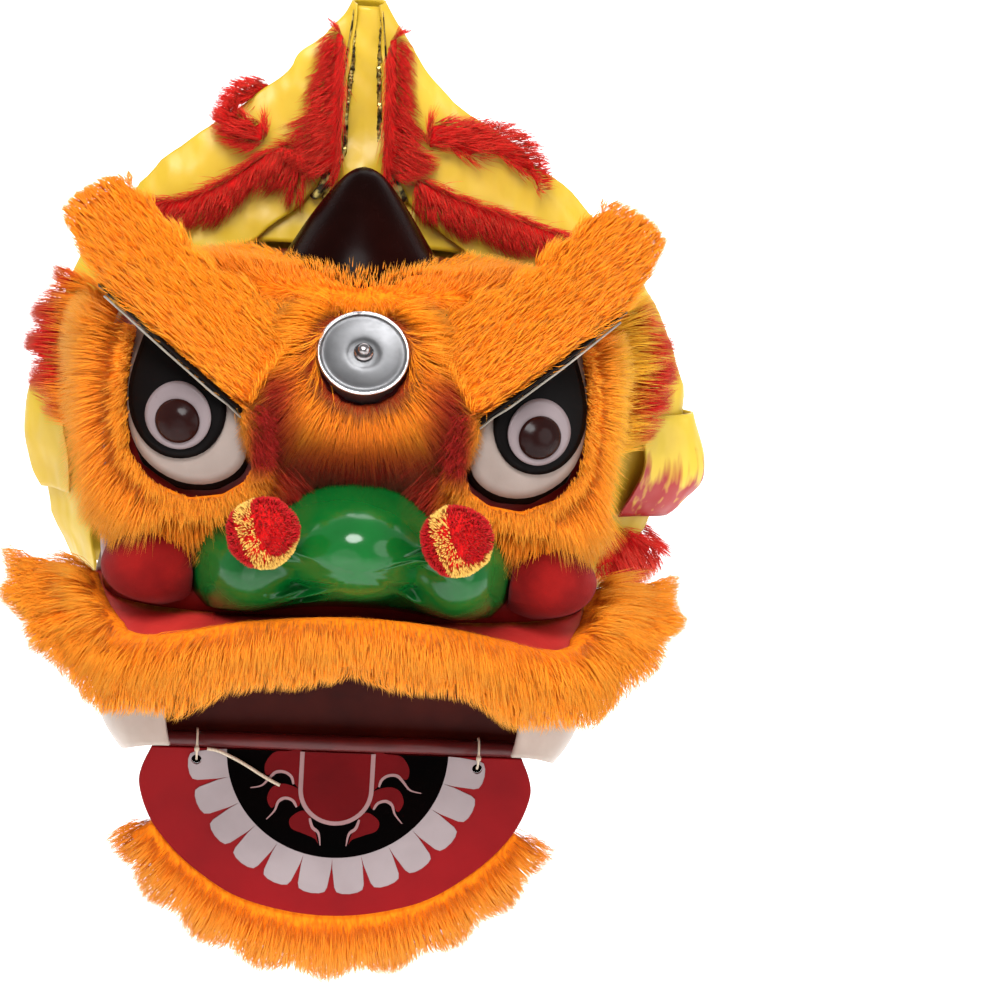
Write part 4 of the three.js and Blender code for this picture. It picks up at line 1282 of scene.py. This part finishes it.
@dataclass
class Trimmings:
    """Small sewn-on lines: piping under the brows, sequins and rolled edges on the cape."""

    piping: float = 0.7 * MM
    below: Vector = field(default_factory=lambda: Vector((0, -1.4, -3.6)) * MM)
    piping_points: int = 8
    sequin: float = 1.7 * MM
    sequin_sides: int = 6
    sequin_depth: float = 1.2 * MM
    sequin_top: float = 0.6
    pitch: float = 1.8 * MM
    inward: float = 4.5 * MM
    run_in: float = 0.3
    roll: float = 1.3 * MM
    roll_points: int = 7
    band: float = 6 * MM
    ahead: float = 0.1
    tilt: float = 0.25
    rays: int = 40
    seed: int = 41

    def build(self) -> None:
        """Lay them on each side."""
        for hand in Hand:
            self.brow_line(hand)
            self.braid(hand)
            self.seam(hand)

    def brow_line(self, hand: Hand) -> None:
        """Piping along the lower edge of the strip under a brow.

        Args:
            hand: Side of the head.
        """
        node = hand.node("brow_edge")
        rows = rows_of(node)
        rows = rows[np.argsort(np.abs(rows[:, 0]))]
        groups = np.array_split(rows, self.piping_points)
        places = [Vector(group.mean(axis=0)) + self.below for group in groups]
        settle(tube(f"{node}_piping", places, self.piping), "piping", Body.HEAD)

    def seam(self, hand: Hand) -> None:
        """Rolled satin edge down the lower half of the cape's middle panel.

        Args:
            hand: Side of the head.
        """
        rows = rows_of("cape_spine")
        levels = np.linspace(rows[:, 2].min(), np.median(rows[:, 2]), self.roll_points)
        bands = [rows[np.abs(rows[:, 2] - level) < self.band] for level in levels]
        places = [Vector(band[np.argmax(hand.value * band[:, 0])]) for band in bands if len(band)]
        name = hand.node("cape_spine_seam")
        settle(tube(name, places, self.roll), "satin", Body.HEAD)

    def braid(self, hand: Hand) -> None:
        """Sequins in a wavering line down a braid.

        Args:
            hand: Side of the head.
        """
        node = hand.node("cape_braid")
        form, spine, (low, high) = form_of(node), form_of("cape_spine"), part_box(node)
        rng = np.random.default_rng(self.seed + hand.value)
        start, back = low.y - self.ahead, Vector((0, 1, 0))
        taper = self.run_in * (high.z - low.z)
        mesh = bmesh.new()
        for height in np.arange(low.z + self.pitch, high.z - self.pitch, self.pitch):
            across = np.linspace(low.x, high.x, self.rays)
            hits = [form.ray_cast(Vector((x, start, height)), back) for x in across]
            places = [(place, normal) for place, normal, _, _ in hits if place is not None]
            if not places:
                continue
            place, normal = places[len(places) // 2]
            inward = hand.value * self.inward * min(1.0, (high.z - height) / taper)
            shifted = spine.ray_cast(Vector((place.x - inward, start, height)), back)
            if shifted[0] is not None:
                place, normal = shifted[:2]
            facing = normal + self.tilt * Vector(rng.normal(size=3))
            turn = facing.to_track_quat("Z", "Y").to_matrix().to_4x4()
            bmesh.ops.create_cone(
                mesh, cap_ends=True, segments=self.sequin_sides, depth=self.sequin_depth,
                radius1=self.sequin, radius2=self.sequin_top * self.sequin,
                matrix=Matrix.Translation(place + self.sequin_depth / 2 * normal) @ turn,
            )
        obj = piece(f"{node}_sequin_row", mesh, smooth=False)
        settle(obj, "braid", Body.HEAD)


@dataclass
class Mirror:
    """The forehead mirror: a dished plate in a bright rim, with a domed nut."""

    rim: float = 1.1 * MM
    inset: float = 1.2 * MM
    steps: int = 49

    def build(self) -> None:
        """Round and dress the plate and its nut, and lay the rim's bead."""
        for node, look in (("mirror_disc", "mirror"), ("mirror_stud", "nut")):
            dressed(node, "metal", look, 2)
        self.bead()

    def bead(self) -> None:
        """A bright bead round the front edge of the plate."""
        rows = rows_of("mirror_disc")
        middle = rows.mean(axis=0)
        axes = np.linalg.svd(rows - middle)[2]
        ahead = axes[2] * -np.sign(axes[2][1])
        front = np.max((rows - middle) @ ahead) - self.inset
        radius = np.max(np.abs((rows - middle) @ axes[0])) - self.inset
        turn = np.linspace(0, 2 * math.pi, self.steps)
        spokes = [math.cos(a) * axes[0] + math.sin(a) * axes[1] for a in turn]
        route = [Vector(middle + front * ahead + radius * spoke) for spoke in spokes]
        settle(tube("mirror_disc_bead", route, self.rim), "rim", Body.HEAD)


@dataclass
class Cape:
    """Satin cape with its tiers, sequin braids and fine wrinkles."""

    fold: float = 2.6 * MM
    wrinkle: float = 1.6 * MM
    spacing: float = 34 * MM
    crease: float = 60.0
    levels: int = 3
    seam: float = 0.1
    widths: Sequence[tuple[str, float]] = (
        ("cape", 0.52), ("cape_spine", 0.04), ("cape_flap_left", 0.11), ("cape_flap_right", 0.11),
    )

    def build(self) -> None:
        """Make the cloth pieces and the braids."""
        for node, width in self.widths:
            cloth = self.cloth(node)
        for hand in Hand:
            dressed(hand.node("cape_braid"), "sequins", "braid", 2)

    def cloth(self, node: str) -> Piece:
        """A rounded sheet with wrinkles.

        Args:
            node: The cloth's node.

        Returns:
            The sheet.
        """
        plain = piece(f"{node}_satin", copied(node, self.crease))
        obj = applied(rounded(plain, self.levels))
        rows = points_of(obj)
        x, y, z = (rows / self.spacing).T
        round_about = np.arctan2(rows[:, 0], rows[:, 1] + 0.25)
        folds = np.sin(34 * round_about + 1.4 * np.sin(1.7 * z))
        folds = folds * (0.6 + 0.4 * np.sin(1.1 * z + 2 * x))
        creases = np.sin(4.1 * x + 2.6 * z + 1.6 * np.sin(2.3 * z - y))
        creases = creases * np.sin(3.7 * z + 1.5 * np.sin(1.9 * x))
        height = self.fold * folds + self.wrinkle * creases
        away = unit(rows * np.array([1.0, 1.0, 0.0]) - np.array([0.0, 0.07, 0.0]))
        if node == "cape_spine":
            rows = rows * np.array([1 + self.seam, 1.0, 1.0])
        put_points(obj, rows + height[:, None] * away)
        look = "hemmed_satin" if node == "cape_flap_right" else "satin"
        return settle(obj, look, Body.HEAD, [node])


def smooth(points: Outline, steps: int, closed: bool = False) -> Outline:
    """Smooth line through a few points.

    Args:
        points: Corners of the line.
        steps: Steps from one corner to the next.
        closed: Whether it runs on from the last corner to the first.

    Returns:
        Points of the line, with both ends if it is open.
    """
    rows = np.array(points, float)
    last = len(rows) - 1
    out = []
    for k in range(last + closed):
        places = [n % len(rows) if closed else min(max(n, 0), last) for n in range(k - 1, k + 3)]
        a, b, c, d = rows[places]
        for t in np.arange(steps) / steps:
            bend = 2 * b - 2 * c + (c - a) / 2 + (d - b) / 2
            slope = (c - a) / 2
            out.append(tuple(b + t * (slope + t * (c - b - slope - bend + t * bend))))
    return out if closed else [*out, tuple(rows[-1])]


def arc(
    radius: float, start: float, stop: float, steps: int, centre: Span = (0.0, 0.0)
) -> Outline:
    """Points round a centre.

    Args:
        radius: Radius of the arc.
        start: First angle, in degrees.
        stop: Last angle.
        steps: Number of points.
        centre: Centre of the arc.

    Returns:
        Points of the arc.
    """
    x, z = centre
    turn = np.radians(np.linspace(start, stop, steps))
    return [(x + radius * math.cos(a), z + radius * math.sin(a)) for a in turn]


@dataclass
class JawBoard:
    """The painted jaw board: black mouth, teeth, flames and tongue in thin layers."""

    top: float = -278 * MM
    front: float = -61.5 * MM
    thickness: float = 3 * MM
    edge: float = 0.7 * MM
    corner: float = 60.0
    mouth_radius: float = 65 * MM
    tooth_radius: float = 87 * MM
    teeth: int = 12
    tongue_half: float = 22 * MM
    tongue_drop: float = 44.5 * MM
    outline: float = 2.6 * MM
    line: float = 1.9
    hole: Span = (82 * MM, -7 * MM)
    hole_radius: float = 3 * MM
    flames: Sequence[Outline] = (
        (
            (21, 0), (29, 0), (37, -1), (42, -8), (41, -15), (34, -12.5), (28, -14), (25, -19),
            (21, -21),
        ),
        (
            (21, -24), (30, -20), (37, -22), (40, -29), (37, -35), (33, -30), (28, -28.5),
            (24, -32), (21, -33),
        ),
        (
            (19, -36), (26, -41), (25, -47), (18, -50), (11, -53), (9, -56), (10.5, -50),
            (13, -45), (14, -40),
        ),
    )
    hooks: Sequence[Outline] = (
        (
            (25, -20), (26.5, -15.5), (30.5, -12.8), (35.5, -13), (39.3, -16.8), (43.5, -21.4),
            (50, -23),
        ),
        ((22.5, -34), (25, -30), (29.5, -28.6), (33.3, -31), (35.3, -36.5), (39.8, -42)),
        ((14.5, -40.5), (12.7, -46), (9, -49.5), (7.6, -57)),
    )
    half: Outline = (
        (108, 0), (113.5, -13), (114.5, -24), (109, -41), (99, -56), (83, -72), (58, -89),
        (29, -98), (0, -101),
    )

    def build(self) -> None:
        """Build the board and its painted layers."""
        self.board()
        mouth = arc(self.mouth_radius, 180, 360, 49)
        left, right = self.ring(-1), self.ring(1)
        teeth = [self.tooth(k) for k in range(self.teeth)]
        reds = [smooth(flame, 5, closed=True) for flame in self.flames]
        lines = [self.hook(route) for route in self.hooks]
        holes = {0: left, self.teeth - 1: right}
        under, over, top = -0.9 * self.thickness, 0.3 * MM, 0.7 * MM
        for name, outlines, lift, depth, look, cuts in (
            ("mouth", [mouth], 0.0, 0.35 * MM, "board_black", {}),
            ("eyelets", [left, right], under, 0.2 * MM, "board_black", {}),
            ("teeth", teeth, 0.0, 0.5 * MM, "tooth", holes),
            ("flames", self.both(reds), over, 0.2 * MM, "tongue", {}),
            ("flame_lines", self.both(lines), over, 0.35 * MM, "line", {}),
            ("tongue_line", [self.tongue(0.0)], over, 0.45 * MM, "line", {}),
            ("tongue", [self.tongue(self.outline)], top, 0.3 * MM, "tongue", {}),
        ):
            self.layer(f"board_{name}", outlines, lift, depth, look, cuts)

    def both(self, outlines: Sequence[Outline]) -> list[Outline]:
        """Outlines in millimetres, mirrored to the left and kept at the right, in metres."""
        sides = [(side * MM, MM) for side in (-1, 1)]
        return [[(x * u, z * v) for x, z in line] for line in outlines for u, v in sides]

    def ring(self, side: int) -> Outline:
        """Outline of a tie hole, on the left for -1 and on the right for 1."""
        return arc(self.hole_radius, 0, 340, 18, (side * self.hole[0], self.hole[1]))

    def tooth(self, k: int) -> Outline:
        """Outline of one tooth: joined to its neighbours at the root, rounded and parted outwards.

        Args:
            k: Its place from the left.

        Returns:
            Points in the board's plane.
        """
        pitch = 180 / self.teeth
        start = 180 + pitch * k
        inner, outer = self.mouth_radius - 0.4 * MM, self.tooth_radius
        stem = inner + 0.3 * (outer - inner)
        flank = [(stem, 0.02), (outer - 4 * MM, 0.1), (outer - 1.2 * MM, 0.16), (outer, 0.3)]
        mirrored = [(radius, 1 - share) for radius, share in reversed(flank)]
        crown = []
        for radius, share in [*flank, (outer + 0.4 * MM, 0.5), *mirrored]:
            angle = start + pitch * share
            crown += arc(radius, angle, angle, 1)
        return [*arc(inner, start + pitch, start, 7), *crown]

    def hook(self, route: Outline) -> Outline:
        """The pale line under a flame, from its foot to its pointed end.

        Args:
            route: Points along the line, in millimetres.

        Returns:
            Points of the line's own outline.
        """
        rows = np.array(smooth(route, 6))
        along = unit(np.gradient(rows, axis=0))
        across = np.stack([-along[:, 1], along[:, 0]], axis=1)
        share = np.linspace(0, 1, len(rows))
        taper = np.interp(share, (0, 0.1, 0.5, 1), (0.5, 0.8, 1.0, 0.25))[:, None]
        half = 0.5 * self.line * taper * across
        return [tuple(r) for r in np.concatenate([rows + half, (rows - half)[::-1]])]

    def tongue(self, inset: float) -> Outline:
        """Outline of the tongue, drawn in by an inset.

        Args:
            inset: How far it is drawn in.

        Returns:
            Points in the board's plane.
        """
        half = self.tongue_half - inset
        low = self.tongue_drop - self.tongue_half
        return [(-half, 0.0), *arc(half, 180, 360, 25, (0.0, -low)), (half, 0.0)]

    def plate(self, mesh: Mesh, loops: Sequence[Outline], level: float, depth: float) -> None:
        """Fill an outline less its holes, and thicken it to a plate.

        Args:
            mesh: Mesh that the plate is added to.
            loops: The outline, then its holes.
            level: Place of the flat fill along y.
            depth: Thickness along y.
        """
        edges = []
        for loop in loops:
            verts = [mesh.verts.new((x, level, self.top + z)) for x, z in loop]
            edges += [mesh.edges.new((verts[k - 1], verts[k])) for k in range(len(verts))]
        filled = bmesh.ops.triangle_fill(mesh, use_beauty=True, use_dissolve=False, edges=edges)
        faces = [g for g in filled["geom"] if isinstance(g, bmesh.types.BMFace)]
        grown = bmesh.ops.extrude_face_region(mesh, geom=faces)["geom"]
        moved = [g for g in grown if isinstance(g, bmesh.types.BMVert)]
        bmesh.ops.translate(mesh, verts=moved, vec=(0, depth, 0))

    def layer(
        self, name: str, outlines: Sequence[Outline], lift: float, depth: float, look: str,
        cuts: dict[int, Outline],
    ) -> None:
        """Thin plates on the board's front.

        Args:
            name: Name of the piece.
            outlines: One outline for each plate.
            lift: Height of their underside over the board.
            depth: Their thickness.
            look: Key of their finish.
            cuts: Holes, by the number of their plate.
        """
        mesh = bmesh.new()
        for number, outline in enumerate(outlines):
            holes = [cuts[number]] if number in cuts else []
            self.plate(mesh, [outline, *holes], self.front - lift, -depth)
        bmesh.ops.recalc_face_normals(mesh, faces=mesh.faces)
        settle(piece(name, mesh, smooth=False), look, Body.JAW)

    def board(self) -> None:
        """The board with its tie holes and a rounded edge."""
        right = [(x * MM, z * MM) for x, z in self.half]
        left = [(-x, z) for x, z in reversed(right[:-1])]
        mesh = bmesh.new()
        loops = [smooth([*right, *left], 8), self.ring(-1), self.ring(1)]
        self.plate(mesh, loops, self.front, self.thickness)
        bmesh.ops.recalc_face_normals(mesh, faces=mesh.faces)
        folded = [edge for edge in mesh.edges if len(edge.link_faces) == 2]
        corner = math.radians(self.corner)
        sharp = [edge for edge in folded if edge.calc_face_angle() > corner]
        bmesh.ops.bevel(
            mesh, geom=sharp, offset=self.edge, affect="EDGES", segments=2, profile=0.5, material=-1
        )
        obj = piece("jaw_board_lacquer", mesh, smooth=False)
        settle(obj, "board", Body.JAW, ["jaw_board"])


@dataclass
class Ties:
    """String loops that hang the jaw, and the loose end of one."""

    diameter: float = 2 * MM
    route: Sequence[Triple] = (
        (-76, -5, -4.2), (-70, -4.6, -5.4), (-62, -4, -9), (-53, -3.4, -14), (-45, -3.2, -19),
        (-38, -3.2, -23), (-33, -3.2, -25.5),
    )

    def build(self) -> None:
        """Make the loops and the loose end."""
        for hand in Hand:
            dressed(hand.node("jaw_tie"), "string", "string", 2, Body.JAW)
        self.tail()

    def tail(self) -> None:
        """The loose end as one free cord along its route."""
        line = bpy.data.curves.new("tie_tail_string", "CURVE")
        line.dimensions = "3D"
        line.bevel_depth = self.diameter / 2
        line.bevel_resolution = 3
        line.use_fill_caps = True
        spline = line.splines.new("BEZIER")
        spline.bezier_points.add(len(self.route) - 1)
        points = [BAR + Vector(p) * MM for p in self.route]
        for knot, place in zip(spline.bezier_points, points):
            knot.co = place
            knot.handle_left_type = knot.handle_right_type = "AUTO"
        obj = linked("tie_tail_string", line)
        settle(obj, "string", Body.JAW, ["tie_tail"])


@dataclass
class Studio:
    """Camera at the picture's angle, white screen and soft light."""

    azimuth: float = -6.0
    elevation: float = 12.0
    distance: float = 1.6
    target: Vector = field(default_factory=lambda: Vector((0.082, -0.09, -0.117)))
    roll: float = 3.8
    width: float = 0.565
    sensor: float = 36.0
    screen: float = 6.0
    screen_glow: float = 1.0
    behind: float = 4.0
    middle: float = -0.3
    floor: float = -0.85
    floor_glow: float = 0.55
    world: float = 0.5
    aim: Vector = field(default_factory=lambda: Vector((0, -0.05, -0.12)))
    lights: Sequence[tuple[str, Triple, float, float]] = (
        ("key", (-0.3, -1.5, 1.6), 1.1, 58.0),
        ("fill", (1.7, -1.3, 0.5), 1.8, 18.0),
        ("low", (-0.6, -1.7, -0.4), 1.6, 6.0),
        ("back", (0.2, 1.2, 1.5), 1.2, 9.0),
    )

    def build(self) -> None:
        """Set the stage."""
        self.camera()
        self.backdrop()
        for name, place, size, power in self.lights:
            self.light(name, place, size, power)
        world = bpy.data.worlds.new("studio")
        world.use_nodes = True
        fill(world.node_tree.nodes["Background"], {"Color": WHITE, "Strength": self.world})
        bpy.context.scene.world = world
        bpy.context.scene.view_settings.view_transform = "Standard"

    def camera(self) -> None:
        """Place the camera."""
        turn, tilt = math.radians(self.azimuth), math.radians(self.elevation)
        level = math.cos(tilt)
        back = Vector((math.sin(turn) * level, -math.cos(turn) * level, math.sin(tilt)))
        data = bpy.data.cameras.new("camera")
        data.sensor_width = self.sensor
        data.lens = self.sensor * self.distance / self.width
        obj = linked("camera", data)
        obj.location = self.target + back * self.distance
        roll = Euler((0, 0, math.radians(self.roll))).to_quaternion()
        obj.rotation_mode = "QUATERNION"
        obj.rotation_quaternion = (-back).to_track_quat("-Z", "Y") @ roll
        bpy.context.scene.camera = obj

    def backdrop(self) -> None:
        """A white screen behind the head, square to the camera, and a white floor below it."""
        upright = Matrix.Rotation(math.radians(90 + self.elevation), 4, "X")
        centre = Matrix.Translation((0, self.behind, self.middle))
        self.sheet("backdrop", centre @ upright, self.screen_glow)
        self.sheet("floor", Matrix.Translation((0, 0, self.floor)), self.floor_glow)

    def sheet(self, name: str, place: Matrix, glow: float) -> None:
        """A plain white sheet of the stage.

        Args:
            name: Name of the sheet.
            place: Its place and turn.
            glow: Strength of its own light.
        """
        mesh = bmesh.new()
        bmesh.ops.create_grid(mesh, x_segments=1, y_segments=1, size=self.screen)
        bmesh.ops.transform(mesh, verts=mesh.verts, matrix=place)
        obj = piece(name, mesh)
        shader = Shader(f"{name}_white").set(Base_Color=WHITE, Roughness=1.0)
        shader.set(Emission_Color=WHITE, Emission_Strength=glow, Specular_IOR_Level=0.0)
        obj.data.materials.append(shader.material)

    def light(self, name: str, place: Triple, size: float, power: float) -> None:
        """A round soft light aimed at the head.

        Args:
            name: Name of the light.
            place: Its place.
            size: Diameter of the light.
            power: Its power, in watts.
        """
        data = bpy.data.lights.new(name, "AREA")
        data.shape = "DISK"
        data.size = size
        data.energy = power
        obj = linked(name, data)
        obj.location = place
        aim = self.aim - Vector(place)
        obj.rotation_mode = "QUATERNION"
        obj.rotation_quaternion = aim.to_track_quat("-Z", "Y")


def main() -> None:
    """Build every sub-assembly in order."""
    logging.basicConfig(level=logging.INFO, format="%(message)s")
    kinds = (Studio, Ties, Mask, Trimmings, Mirror, JawBoard, Cape, FurDress, Pompoms)
    for kind in kinds:
        kind().build()


if __name__ == "__main__":
    main()
